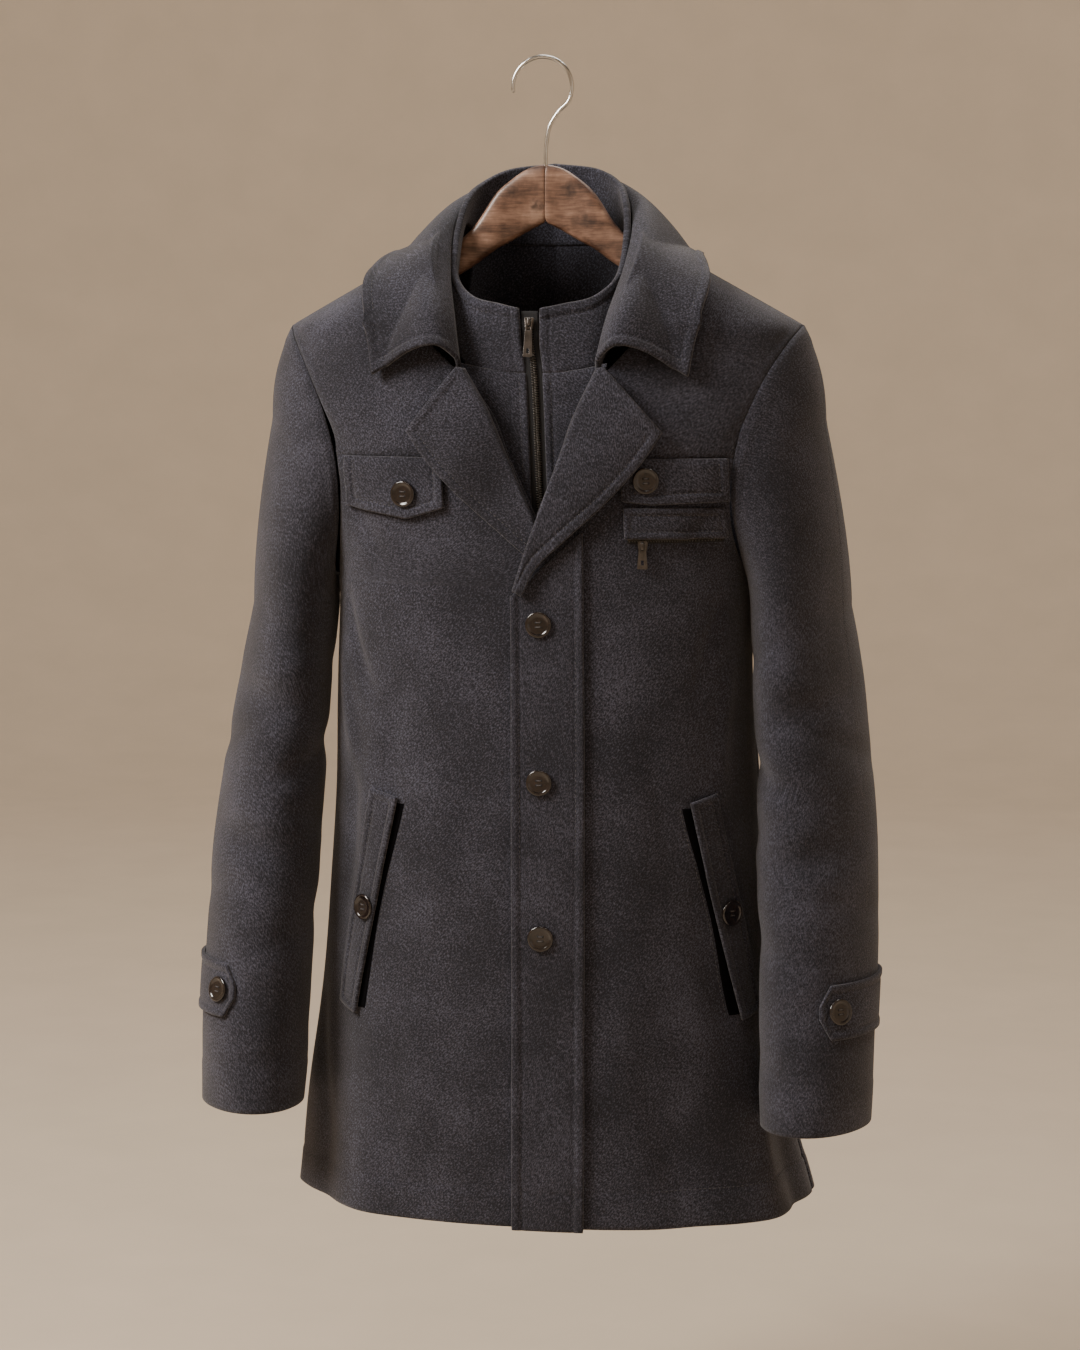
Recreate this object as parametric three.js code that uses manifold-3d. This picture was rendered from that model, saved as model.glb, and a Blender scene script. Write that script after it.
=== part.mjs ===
// Wool overcoat on a wooden hanger with a steel hook.
// Millimetres, +Z up, +X to the wearer's left, -Y to the front.
// The origin is the inside top of the hook, where it hangs on a rail.
// Heights are given as a drop below the origin.
import * as THREE from 'three';
import { mergeVertices } from 'three/addons/utils/BufferGeometryUtils.js';
import Module from 'manifold-3d';

const wasm = await Module();
wasm.setup();

const clothWall = 2.6;
const doubledWall = 4.2;
const seamGap = 0.3;
const hemDrop = 1016;
const hemFoldHeight = 28;
const yokeSeamDrop = 343;
const panelTopDrop = 165;
const neckDrop = 146;
const neckHalf = 75;
const shoulderDrop = 231;
const shoulderHalf = 228;
const armholeHeight = 224;
const armholeFront = 78;
const armholeBack = 86;
const cuffDrop = 926;
const cuffFoldHeight = 40;
const headDrop = 480;
const headFullness = 5;
const underarmEase = 3;
const placketInner = 23;
const placketOuter = 39;
const placketTopDrop = 462;
const placketRise = 56;
const ridgeHeight = 0.8;
const overlayLift = 1.2;
const flapSeat = 0.4;
const flapLift = 1.4;
const weltSeat = 0.55;
const weltLift = 1.6;
const tabLift = 0.5;
const lapelSeat = 0.4;
const buttonGap = 0.4;
const lapelSwell = 3;
const crossingLift = 6.2;
const underLapelShare = 0.8;
const pushFrom = 125;
const pushFull = 150;
const bibDepth = 9;
const bibSeat = 3.6;
const bibTopDrop = 270.7;
const zipHalf = 7.6;
const zipTopDrop = 219;
const zipEndDrop = 440;
const pullTop = 0.5;
const pullThick = 1;
const pullOut = 2.85;
const hangerHalf = 200;
const buttonRadius = 11.4;
const wireRadius = 1.85;
const hookRadius = 26.2;

const seamAngle = 0.004;
const rowSpacing = 33;
const loopRows = 6 / Math.PI;
const armholeGap = 1.3;
const armholeDrop = shoulderDrop + armholeHeight / 2;
const underarmDrop = shoulderDrop + armholeHeight;

const cloth = { color: 0x3b393c, roughness: 0.95, metalness: 0 };
const darkHorn = { color: 0x1d1411, roughness: 0.25, metalness: 0 };
const bronze = { color: 0x6b5a48, roughness: 0.35, metalness: 1 };
const darkTape = { color: 0x151517, roughness: 0.9, metalness: 0 };
const walnut = { color: 0x6a452f, roughness: 0.45, metalness: 0 };
const steel = { color: 0xb9b7b2, roughness: 0.25, metalness: 1 };

// Depth to the front and back, sideways lean, where it is widest, and squareness at each drop
const bodySections = [
  { drop: 146, front: 70, back: 76, lean: 0, middle: 0, power: 2.3 },
  { drop: 190, front: 84, back: 91, lean: 0, middle: 0, power: 2.3 },
  { drop: 231, front: 93, back: 101, lean: 0, middle: 0, power: 2.3 },
  { drop: 270, front: 100, back: 108, lean: 0, middle: 0, power: 2.35 },
  { drop: 345, front: 109, back: 116, lean: 0, middle: 0, power: 2.4 },
  { drop: 400, front: 113, back: 118, lean: 0, middle: 0, power: 2.4 },
  { drop: 455, front: 116, back: 117, lean: 0, middle: 0, power: 2.45 },
  { drop: 560, front: 119, back: 112, lean: 0, middle: 8, power: 2.45 },
  { drop: 700, front: 122, back: 112, lean: 0, middle: 18, power: 2.4 },
  { drop: 850, front: 122, back: 118, lean: 0, middle: 26, power: 2.35 },
  { drop: 950, front: 122, back: 121, lean: 1, middle: 30, power: 2.35 },
  { drop: 1016, front: 123, back: 124, lean: 7, middle: 30, power: 2.4 },
];
const bodyWidths = [
  { drop: 455, half: 186 },
  { drop: 475, half: 185 },
  { drop: 560, half: 187 },
  { drop: 700, half: 196 },
  { drop: 850, half: 209 },
  { drop: 950, half: 223 },
  { drop: 1016, half: 235 },
];
// The closed edge of the coat hangs a little to the wearer's left
const centreLine = [
  { drop: 217, across: -2 },
  { drop: 270, across: 3 },
  { drop: 345, across: 7 },
  { drop: 455, across: 11 },
  { drop: 700, across: 13 },
  { drop: 1016, across: 13 },
];
// Soft folds of the hanging cloth: place round the body in degrees, half angle, depth, and where it runs
const bodyFolds = [
  { angle: -58, spread: 9, depth: -5, from: 470, to: 1100 },
  { angle: -36, spread: 8, depth: 3, from: 600, to: 1100 },
  { angle: 34, spread: 8, depth: -4, from: 520, to: 1100 },
  { angle: 57, spread: 9, depth: 4, from: 640, to: 1100 },
  { angle: 76, spread: 7, depth: -5, from: 700, to: 1100 },
  { angle: -80, spread: 7, depth: 4, from: 720, to: 1100 },
  { angle: 118, spread: 10, depth: -6, from: 480, to: 1100 },
  { angle: 146, spread: 11, depth: 5, from: 520, to: 1100 },
  { angle: 172, spread: 10, depth: -5, from: 560, to: 1100 },
  { angle: -152, spread: 11, depth: 5, from: 500, to: 1100 },
  { angle: -124, spread: 10, depth: -6, from: 540, to: 1100 },
];
// Inner edge of each front, where the lapel turns over, measured from the centre line
const turnLine = [
  { drop: 168, edge: 96 },
  { drop: 190, edge: 104 },
  { drop: 225, edge: 102 },
  { drop: 250, edge: 86 },
  { drop: 272, edge: 62 },
  { drop: 303, edge: 37 },
  { drop: 345, edge: 21 },
  { drop: 380, edge: 6 },
  { drop: 415, edge: -8 },
  { drop: 462, edge: -18 },
];
// Hanging sleeve: centre, half widths across and along, and turn of the long axis in degrees
const sleeveSections = [
  { drop: 455, across: 226, along: 4, half: 37, deep: 84, turn: 12 },
  { drop: 560, across: 238, along: -6, half: 43, deep: 80, turn: 18 },
  { drop: 660, across: 246, along: -20, half: 47, deep: 75, turn: 20 },
  { drop: 760, across: 250, along: -36, half: 49, deep: 70, turn: 20 },
  { drop: 860, across: 251, along: -52, half: 48, deep: 65, turn: 19 },
  { drop: 926, across: 251, along: -60, half: 45.5, deep: 61, turn: 18 },
];
// Soft breaks across the sleeve at the elbow
const sleeveFolds = [
  { drop: 560, spread: 16, depth: -4, face: 60 },
  { drop: 622, spread: 15, depth: -5, face: 110 },
  { drop: 690, spread: 17, depth: -4, face: 70 },
  { drop: 770, spread: 18, depth: -3, face: 120 },
];
// Standing insert collar, from its front edge round to the middle of the back
const standStations = [
  { at: 0.0, rim: [10, -80, 217], base: [8, -91, 270] },
  { at: 0.14, rim: [28, -77, 213], base: [30, -90, 269] },
  { at: 0.28, rim: [53, -68, 206], base: [54, -80, 261] },
  { at: 0.4, rim: [72, -50, 186], base: [69, -58, 236] },
  { at: 0.52, rim: [76, -26, 154], base: [75, -30, 188] },
  { at: 0.64, rim: [72, 0, 122], base: [75, -2, 143] },
  { at: 0.76, rim: [62, 26, 106], base: [68, 28, 150] },
  { at: 0.88, rim: [40, 47, 94], base: [44, 51, 158] },
  { at: 1.0, rim: [0, 56, 89], base: [0, 61, 160] },
];
// Fold-down collar: each station holds its seam, roll, shoulder of the roll, middle and outer edge
const collarStations = [
  { at: 0.0, seam: [58, -97, 267], roll: [60, -106, 257],
    over: [77, -115, 246], mid: [104, -108, 252], edge: [136, -93, 273] },
  { at: 0.2, seam: [69, -84, 240], roll: [70, -90, 222],
    over: [86, -102, 214], mid: [113, -92, 228], edge: [138, -78, 247] },
  { at: 0.4, seam: [80, -56, 200], roll: [81, -52, 178],
    over: [95, -62, 174], mid: [117, -56, 193], edge: [138, -46, 214] },
  { at: 0.55, seam: [84, -20, 160], roll: [83, -18, 145],
    over: [94, -22, 144], mid: [116, -20, 162], edge: [136, -12, 180] },
  { at: 0.7, seam: [78, 20, 143], roll: [74, 22, 121],
    over: [86, 28, 121], mid: [108, 34, 144], edge: [128, 40, 176] },
  { at: 0.85, seam: [53, 58, 144], roll: [47, 55, 104],
    over: [55, 69, 107], mid: [66, 88, 140], edge: [78, 97, 184] },
  { at: 1.0, seam: [0, 73, 144], roll: [0, 68, 98],
    over: [0, 83, 103], mid: [0, 104, 140], edge: [0, 114, 190] },
];
// Lapel from its top edge down to where it starts: turn edge and outer edge from the centre line
const lapelRows = [
  { at: 0.0, turnX: 56, turnDrop: 268, edgeX: 108, edgeDrop: 322, turnLift: 13, edgeLift: 6 },
  { at: 0.22, turnX: 38, turnDrop: 302, edgeX: 88, edgeDrop: 350, turnLift: 13, edgeLift: 6 },
  { at: 0.45, turnX: 22, turnDrop: 342, edgeX: 57, edgeDrop: 383, turnLift: 12, edgeLift: 6 },
  { at: 0.68, turnX: 4, turnDrop: 388, edgeX: 25, edgeDrop: 412, turnLift: 10, edgeLift: 6 },
  { at: 0.86, turnX: -10, turnDrop: 424, edgeX: 0, edgeDrop: 436, turnLift: 8, edgeLift: 5.5 },
  { at: 1.0, turnX: -21, turnDrop: 456, edgeX: -13, edgeDrop: 460, turnLift: 6, edgeLift: 5 },
];
// Middle of the zip: it swings from the collar to the centre line of the coat
const zipLine = [
  { drop: 217, across: -2, front: -79 },
  { drop: 245, across: 0, front: -85 },
  { drop: 270, across: 4, front: -91 },
  { drop: 330, across: 8, front: -98 },
  { drop: 388, across: 11, front: -103 },
  { drop: 440, across: 12, front: -106 },
];
// Wooden hanger from its middle outwards
const hangerSections = [
  { across: 0.2, top: 91, bottom: 141.5, along: 0, thick: 7 },
  { across: 15, top: 94.5, bottom: 149, along: 0, thick: 7 },
  { across: 30, top: 104, bottom: 157.5, along: -1, thick: 7.2 },
  { across: 44, top: 116.5, bottom: 165, along: -2, thick: 7.6 },
  { across: 62, top: 143, bottom: 178, along: -2, thick: 8 },
  { across: 82, top: 161, bottom: 190, along: -3, thick: 8.6 },
  { across: 135, top: 183.8, bottom: 215, along: -9, thick: 10 },
  { across: 180, top: 208.8, bottom: 236, along: -9, thick: 11 },
  { across: 200, top: 220.8, bottom: 244, along: -8, thick: 9 },
];

const chestFlaps = [
  { hand: 'right', from: -172, to: -80, point: -113, tall: 52, rise: 10 },
  { hand: 'left', from: 74, to: 162, point: 98, tall: 38, rise: 3 },
];
const chestWelt = { from: 75, to: 158, top: 386, bottom: 411 };
// Slanted pocket: the open edge runs from its upper to its lower offset, the welt turns outwards from it
const hipWelt = { top: 641, bottom: 838, rise: 6, upper: 127, lowerRight: 168, lowerLeft: 168, turn: 0.19 };
const cuffTab = { drop: 819, half: 23, front: 58, back: -48, button: 40 };
const bodyButtons = [
  { name: 'button_front_upper', offset: 1, drop: 485, lift: 0.3 },
  { name: 'button_front_middle', offset: 1, drop: 621, lift: 0.3 },
  { name: 'button_front_lower', offset: 2, drop: 757, lift: 0.3 },
  { name: 'button_chest_right', offset: -115, drop: 375, lift: 0.6 },
  { name: 'button_chest_left', offset: 94, drop: 362, lift: 0.5 },
  { name: 'button_hip_right', offset: -158, drop: 741, lift: 0.75 },
  { name: 'button_hip_left', offset: 158, drop: 741, lift: 0.6 },
];
const zipPulls = [
  {
    name: 'zip', drop: 228, lift: 1.5, neckHalf: 2.9, endHalf: 4.3, slotHalf: 1.7, neck: 9, length: 31,
  },
  {
    name: 'chest_zip', onChest: true, offset: 90, drop: 417, lift: 0.9,
    neckHalf: 3.4, endHalf: 4.6, slotHalf: 1.7, neck: 7, length: 20,
  },
];
const sliderSize = {
  low: -6, high: 3.4, thick: 2, archOut: 4.6, archWall: 0.9, width: 2.6, lowHalf: 2.7, highHalf: 3.9,
};

const coat = new THREE.Group();

function sample(rows, key, column, at) {
  // Smooth curve through one column of a table, level beyond both ends
  const last = rows.length - 1;
  if (at <= rows[0][key]) return rows[0][column];
  if (at >= rows[last][key]) return rows[last][column];
  let i = 0;
  while (rows[i + 1][key] < at) i += 1;
  const slope = (k) => {
    const before = rows[Math.max(k - 1, 0)];
    const after = rows[Math.min(k + 1, last)];
    return (after[column] - before[column]) / (after[key] - before[key]);
  };
  const span = rows[i + 1][key] - rows[i][key];
  const t = (at - rows[i][key]) / span;
  const rise = t * t * (3 - 2 * t);
  const start = slope(i) * span * t * (1 - t) * (1 - t);
  const end = slope(i + 1) * span * t * t * (t - 1);
  return rows[i][column] * (1 - rise) + rows[i + 1][column] * rise + start + end;
}

function signedPower(value, exponent) {
  return Math.sign(value) * Math.abs(value) ** exponent;
}

function armholePoint(t) {
  // Closed loop: 0 at the shoulder, a quarter turn at the front, a half turn under the arm
  const depth = Math.sin(t) > 0 ? armholeFront : armholeBack;
  const drop = armholeDrop - (armholeHeight / 2) * Math.cos(t);
  const across = 191 + 21 * Math.cos(t) + 16 * Math.cos(2 * t);
  return { across, along: -depth * Math.sin(t), drop };
}

function halfWidth(drop, isFront) {
  // Above the shoulder point the coat narrows to the neck; beside the armhole it passes through the loop
  if (drop <= shoulderDrop) {
    const slope = (shoulderHalf - neckHalf) / (shoulderDrop - neckDrop);
    return neckHalf + (drop - neckDrop) * slope;
  }
  if (drop >= underarmDrop) return sample(bodyWidths, 'drop', 'half', drop);
  const turn = Math.acos((armholeDrop - drop) / (armholeHeight / 2));
  const point = armholePoint(isFront ? turn : -turn);
  const depth = sample(bodySections, 'drop', isFront ? 'front' : 'back', drop);
  const power = sample(bodySections, 'drop', 'power', drop);
  return point.across / (1 - Math.abs(point.along / depth) ** power) ** (1 / power);
}

function foldDepth(angle, drop) {
  let depth = 0;
  for (const fold of bodyFolds) {
    const degrees = THREE.MathUtils.radToDeg(angle) - fold.angle;
    const away = (THREE.MathUtils.euclideanModulo(degrees + 180, 360) - 180) / fold.spread;
    const fade = THREE.MathUtils.smoothstep(drop, fold.from, fold.to);
    depth += fold.depth * fade * Math.exp(-away * away);
  }
  return depth;
}

function bodyPoint(angle, drop) {
  const power = sample(bodySections, 'drop', 'power', drop);
  const lean = sample(bodySections, 'drop', 'lean', drop);
  const isFront = Math.cos(angle) >= 0;
  const middle = sample(bodySections, 'drop', 'middle', drop);
  const depth = sample(bodySections, 'drop', isFront ? 'front' : 'back', drop);
  const reach = depth + (isFront ? middle : -middle);
  const swell = 1 + foldDepth(angle, drop) / reach;
  const across = lean + swell * halfWidth(drop, isFront) * signedPower(Math.sin(angle), 2 / power);
  return new THREE.Vector3(across, middle - swell * reach * signedPower(Math.cos(angle), 2 / power), -drop);
}

function angleAt(offset, drop) {
  // Angle round the front half of the coat at a distance from its centre line
  const power = sample(bodySections, 'drop', 'power', drop);
  const lean = sample(bodySections, 'drop', 'lean', drop);
  const across = sample(centreLine, 'drop', 'across', drop) + offset - lean;
  const share = THREE.MathUtils.clamp(across / halfWidth(drop, true), -1, 1);
  return Math.asin(signedPower(share, power / 2));
}

function bodyNormal(angle, drop) {
  const turn = 0.02;
  const step = 3;
  const round = bodyPoint(angle + turn, drop).sub(bodyPoint(angle - turn, drop));
  const down = bodyPoint(angle, drop + step).sub(bodyPoint(angle, drop - step));
  return down.cross(round).normalize();
}

function clothPoint(angle, drop, lift) {
  // Point of the coat moved out along the cloth's normal
  return bodyPoint(angle, drop).addScaledVector(bodyNormal(angle, drop), lift);
}

function frontPoint(offset, drop, lift) {
  return clothPoint(angleAt(offset, drop), drop, lift);
}

function addMesh(name, geometry, look) {
  const mesh = new THREE.Mesh(geometry, new THREE.MeshStandardMaterial(look));
  mesh.name = name;
  coat.add(mesh);
  return mesh;
}

function closedShell(outer, inner, isTube) {
  // Two grids of points joined at their edges; a tube is closed round its columns
  const rows = outer.length;
  const columns = outer[0].length;
  const positions = [];
  for (const grid of [outer, inner]) {
    for (const row of grid) {
      for (const point of row) positions.push(point.x, point.y, point.z);
    }
  }
  const far = rows * columns;
  const index = [];
  const quad = (a, b, c, d) => index.push(a, b, c, a, c, d);
  const at = (row, column) => row * columns + (column % columns);
  const steps = isTube ? columns : columns - 1;
  for (let r = 0; r < rows - 1; r += 1) {
    for (let c = 0; c < steps; c += 1) {
      const [a, b, d, e] = [at(r, c), at(r, c + 1), at(r + 1, c + 1), at(r + 1, c)];
      quad(a, e, d, b);
      quad(far + a, far + b, far + d, far + e);
    }
  }
  for (let c = 0; c < steps; c += 1) {
    quad(at(0, c), at(0, c + 1), far + at(0, c + 1), far + at(0, c));
    quad(at(rows - 1, c + 1), at(rows - 1, c), far + at(rows - 1, c), far + at(rows - 1, c + 1));
  }
  if (!isTube) {
    for (let r = 0; r < rows - 1; r += 1) {
      quad(at(r + 1, 0), at(r, 0), far + at(r, 0), far + at(r + 1, 0));
      const edge = columns - 1;
      quad(at(r, edge), at(r + 1, edge), far + at(r + 1, edge), far + at(r, edge));
    }
  }
  const geometry = new THREE.BufferGeometry();
  geometry.setAttribute('position', new THREE.Float32BufferAttribute(positions, 3));
  geometry.setIndex(index);
  return mergeVertices(geometry, 1e-3);
}

function gridOf(rows, columns, pointAt) {
  const grid = [];
  for (let r = 0; r <= rows; r += 1) {
    const line = [];
    for (let c = 0; c <= columns; c += 1) line.push(pointAt(c / columns, r / rows));
    grid.push(line);
  }
  return grid;
}

function insideOf(outer, wall, isTube) {
  // Each point moved inwards by the wall, along the normal of the grid round it
  const rows = outer.length;
  const columns = outer[0].length;
  const wrap = (c) => (isTube ? (c + columns) % columns : THREE.MathUtils.clamp(c, 0, columns - 1));
  return outer.map((line, r) => line.map((point, c) => {
    const above = outer[Math.max(r - 1, 0)][c];
    const below = outer[Math.min(r + 1, rows - 1)][c];
    const round = outer[r][wrap(c + 1)].clone().sub(outer[r][wrap(c - 1)]);
    const normal = below.clone().sub(above).cross(round).normalize();
    return point.clone().addScaledVector(normal, -wall);
  }));
}

function addCloth(name, rows, columns, wall, pointAt) {
  const outer = gridOf(rows, columns, pointAt);
  return addMesh(name, closedShell(outer, insideOf(outer, wall, false), false), cloth);
}

function addPatch(name, rows, columns, wall, placeAt) {
  // A piece that lies on the coat: placeAt gives its angle, its drop and how far it stands off
  const layer = (height) => gridOf(rows, columns, (u, v) => {
    const place = placeAt(u, v);
    return clothPoint(place.angle, place.drop, place.lift + height);
  });
  return addMesh(name, closedShell(layer(wall), layer(0), false), cloth);
}

function spacedDrop(from, to, share) {
  // Rows stand closer where the armhole turns: even round the loop, and even above and below it
  const turnAt = (drop) => {
    if (drop <= shoulderDrop) return (drop - shoulderDrop) / rowSpacing;
    if (drop >= underarmDrop) return Math.PI * loopRows + (drop - underarmDrop) / rowSpacing;
    return loopRows * Math.acos((armholeDrop - drop) / (armholeHeight / 2));
  };
  const turn = THREE.MathUtils.lerp(turnAt(from), turnAt(to), share);
  if (turn <= 0) return shoulderDrop + turn * rowSpacing;
  if (turn >= Math.PI * loopRows) return underarmDrop + (turn - Math.PI * loopRows) * rowSpacing;
  return armholeDrop - (armholeHeight / 2) * Math.cos(turn / loopRows);
}

function frontEdge(drop, side) {
  // The wearer's left front stops just beside the right one behind the placket
  const turned = drop > placketTopDrop ? -18 : sample(turnLine, 'drop', 'edge', drop);
  return side > 0 ? Math.max(turned, -turned + 2 * seamGap) : turned;
}

function outerAngle(drop, isFront) {
  // The panel stops just short of the armhole, or of the seam at the side and shoulder
  if (drop <= shoulderDrop || drop >= underarmDrop) return Math.PI / 2 - seamAngle;
  const turn = Math.acos((armholeDrop - drop) / (armholeHeight / 2));
  const point = armholePoint(isFront ? turn : -turn);
  const power = sample(bodySections, 'drop', 'power', drop);
  const share = (point.across - armholeGap) / halfWidth(drop, isFront);
  return Math.min(Math.asin(share ** (power / 2)), Math.PI / 2 - seamAngle);
}

function hemRidge(drop) {
  // The doubled hem and its line of sewing stand slightly proud
  return drop > hemDrop - hemFoldHeight ? 0.8 : 0;
}

function addFronts() {
  for (const side of [-1, 1]) {
    const hand = side > 0 ? 'left' : 'right';
    const panel = (from, to) => (u, v) => {
      const drop = spacedDrop(from, to, v);
      const inner = angleAt(side * frontEdge(drop, side), drop);
      const outer = side * outerAngle(drop, true);
      const angle = side > 0 ? inner + (outer - inner) * u : outer + (inner - outer) * u;
      return bodyPoint(angle, drop).addScaledVector(bodyNormal(angle, drop), hemRidge(drop));
    };
    addCloth(`front_yoke_${hand}`, 10, 8, clothWall, panel(panelTopDrop, yokeSeamDrop - seamGap));
    addCloth(`front_${hand}`, 20, 8, clothWall, panel(yokeSeamDrop + seamGap, hemDrop));
  }
}

function addBack() {
  addCloth('back', 25, 16, clothWall, (u, v) => {
    const drop = spacedDrop(panelTopDrop, hemDrop, v);
    const reach = outerAngle(drop, false);
    const angle = Math.PI + reach * (2 * u - 1);
    return bodyPoint(angle, drop).addScaledVector(bodyNormal(angle, drop), hemRidge(drop));
  });
}

function sleevePoint(t, drop) {
  // Hanging ring of the sleeve: an ellipse whose front edge is turned inwards
  const half = sample(sleeveSections, 'drop', 'half', drop);
  const deep = sample(sleeveSections, 'drop', 'deep', drop);
  const turn = THREE.MathUtils.degToRad(sample(sleeveSections, 'drop', 'turn', drop));
  let bulge = drop > cuffDrop - cuffFoldHeight ? 0.6 : 0;
  for (const fold of sleeveFolds) {
    const away = (drop - fold.drop) / fold.spread;
    const face = Math.max(Math.cos(t - THREE.MathUtils.degToRad(fold.face)), 0);
    bulge += fold.depth * face * Math.exp(-away * away);
  }
  const out = (half + bulge) * Math.cos(t);
  const ahead = (deep + bulge) * Math.sin(t);
  return {
    across: sample(sleeveSections, 'drop', 'across', drop) + out * Math.cos(turn) - ahead * Math.sin(turn),
    along: sample(sleeveSections, 'drop', 'along', drop) - out * Math.sin(turn) - ahead * Math.cos(turn),
  };
}

// The wearer's right sleeve hangs a little further out than the left one
const sleeveShift = { right: -8, left: -1 };

function sleeveRow(row, capRows, hangRows, side, round) {
  // From the armhole loop the rings open into the hanging ones, with a full sleeve head
  const cap = Math.min(row / capRows, 1);
  const ringDrop = THREE.MathUtils.lerp(headDrop, cuffDrop, Math.max((row - capRows) / hangRows, 0));
  const ease = 1 - (1 - cap) ** 1.7;
  const hand = side > 0 ? 'left' : 'right';
  const shift = (sleeveShift[hand] * (ringDrop - headDrop)) / (cuffDrop - headDrop);
  const line = [];
  for (let c = 0; c < round; c += 1) {
    const t = (-side * 2 * Math.PI * c) / round;
    const start = armholePoint(t);
    const ring = sleevePoint(t, ringDrop);
    const head = headFullness * Math.sin(Math.PI * Math.min(cap * 3, 1)) * Math.max(Math.cos(t), 0);
    const underarm = underarmEase * Math.max(-Math.cos(t), 0);
    const across = THREE.MathUtils.lerp(start.across + seamGap + underarm, ring.across, ease);
    line.push(new THREE.Vector3(
      side * (across + head) + shift,
      THREE.MathUtils.lerp(start.along, ring.along, ease),
      -THREE.MathUtils.lerp(start.drop, ringDrop, cap),
    ));
  }
  return line;
}

function addSleeves() {
  const capRows = 6;
  const hangRows = 10;
  for (const side of [-1, 1]) {
    const outer = [];
    for (let r = 0; r <= capRows + hangRows; r += 1) {
      outer.push(sleeveRow(r, capRows, hangRows, side, 22));
    }
    const inner = insideOf(outer, clothWall, true);
    // At the armhole the wall lies in the plane of the seam
    const middle = new THREE.Vector3(0, 0, -armholeDrop);
    inner[0] = outer[0].map((point) => {
      const inward = middle.clone().setX(point.x).sub(point).normalize();
      return point.clone().addScaledVector(inward, clothWall);
    });
    addMesh(`sleeve_${side > 0 ? 'left' : 'right'}`, closedShell(outer, inner, true), cloth);
  }
}

function edgeRidge(share) {
  // The topstitched margin stands up at both edges of a piece
  return share < 0.12 || share > 0.88 ? ridgeHeight : 0;
}

function addPlacket() {
  addPatch('placket', 15, 8, clothWall, (u, v) => {
    // Its top runs up under the lapel
    const drop = THREE.MathUtils.lerp(placketTopDrop - placketRise * u, hemDrop + 2, v);
    const offset = THREE.MathUtils.lerp(-placketInner, placketOuter, u);
    return { angle: angleAt(offset, drop), drop, lift: overlayLift + edgeRidge(u) };
  });
}

function lapelPoint(side, across, down) {
  // From the front's inner edge round the roll, then out to the edge of the lapel
  const at = (column) => sample(lapelRows, 'at', column, side > 0 ? down : down * underLapelShare);
  const low = THREE.MathUtils.smoothstep(down, 0.35, 0.7);
  const sink = side > 0 ? 0 : low;
  const base = lapelSeat + (side > 0 ? crossingLift * low : 0);
  const radius = THREE.MathUtils.lerp(at('turnLift') / 2, 2.9, low);
  const rollShare = 0.3;
  if (across < rollShare) {
    const turn = Math.PI * (across / rollShare);
    const offset = at('turnX') + radius * (1 - Math.sin(turn));
    return frontPoint(side * offset, at('turnDrop'), base + radius * (1 - Math.cos(turn)));
  }
  const out = (across - rollShare) / (1 - rollShare);
  const offset = THREE.MathUtils.lerp(at('turnX') + radius, at('edgeX'), out);
  const drop = THREE.MathUtils.lerp(at('turnDrop'), at('edgeDrop'), out);
  const edgeLift = THREE.MathUtils.lerp(at('edgeLift') + clothWall, side > 0 ? 11 : 4.4, low);
  const lift = THREE.MathUtils.lerp(base + 2 * radius, edgeLift, out);
  return frontPoint(side * offset, drop, lift + lapelSwell * Math.sin(Math.PI * out) * (1 - low));
}

function addLapels() {
  addCloth('lapel_left', 9, 9, clothWall, (u, v) => lapelPoint(1, u, v));
  addCloth('lapel_right', 9, 9, clothWall, (u, v) => lapelPoint(-1, 1 - u, v));
}

function stationPoint(rows, at, column) {
  // A station's point, mirrored for the far half of the ring: 0 and 1 are the two front ends
  const near = at < 0.5 ? 1 : -1;
  const along = at < 0.5 ? at * 2 : 2 - at * 2;
  const valuesOf = (k) => rows.map((row) => ({ at: row.at, value: row[column][k] }));
  const axis = (k) => sample(valuesOf(k), 'at', 'value', along);
  return new THREE.Vector3(near * axis(0), axis(1), -axis(2));
}

function outsideness(point) {
  // Above zero outside the coat's rings, zero on them
  const drop = -point.z;
  const isFront = point.y < 0;
  const power = sample(bodySections, 'drop', 'power', drop);
  const depth = sample(bodySections, 'drop', isFront ? 'front' : 'back', drop);
  return Math.abs(point.x / halfWidth(drop, isFront)) ** power + Math.abs(point.y / depth) ** power - 1;
}

function pushOut(point, clearance) {
  // A point nearer than the clearance to the shoulders moves out, along the steepest way
  const step = 0.5;
  const needed = clearance * THREE.MathUtils.smoothstep(-point.z, pushFrom, pushFull);
  for (let pass = 0; pass < 6; pass += 1) {
    const here = outsideness(point);
    const way = new THREE.Vector3(
      outsideness(point.clone().setX(point.x + step)) - here,
      outsideness(point.clone().setY(point.y + step)) - here,
      outsideness(point.clone().setZ(point.z + step)) - here,
    ).divideScalar(step);
    const away = here / way.length();
    if (away < needed) point.addScaledVector(way.normalize(), needed - away);
  }
  return point;
}

function addCollar() {
  const columns = ['seam', 'roll', 'over', 'mid', 'edge'];
  addCloth('collar', 11, 30, doubledWall, (u, v) => {
    const stations = columns.map((column) => stationPoint(collarStations, u, column));
    const path = new THREE.CatmullRomCurve3(stations);
    const point = path.getPoint(v);
    return v > 0.4 ? pushOut(point, doubledWall + overlayLift) : point;
  });
}

function addStand() {
  addCloth('insert_stand', 4, 30, doubledWall, (u, v) => {
    const rim = stationPoint(standStations, u, 'rim');
    const base = stationPoint(standStations, u, 'base');
    const point = rim.lerp(base, v);
    const front = Math.abs(2 * u - 1) ** 6;
    return point.setX(point.x + sample(zipLine, 'drop', 'across', -point.z) * front);
  });
}

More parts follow.
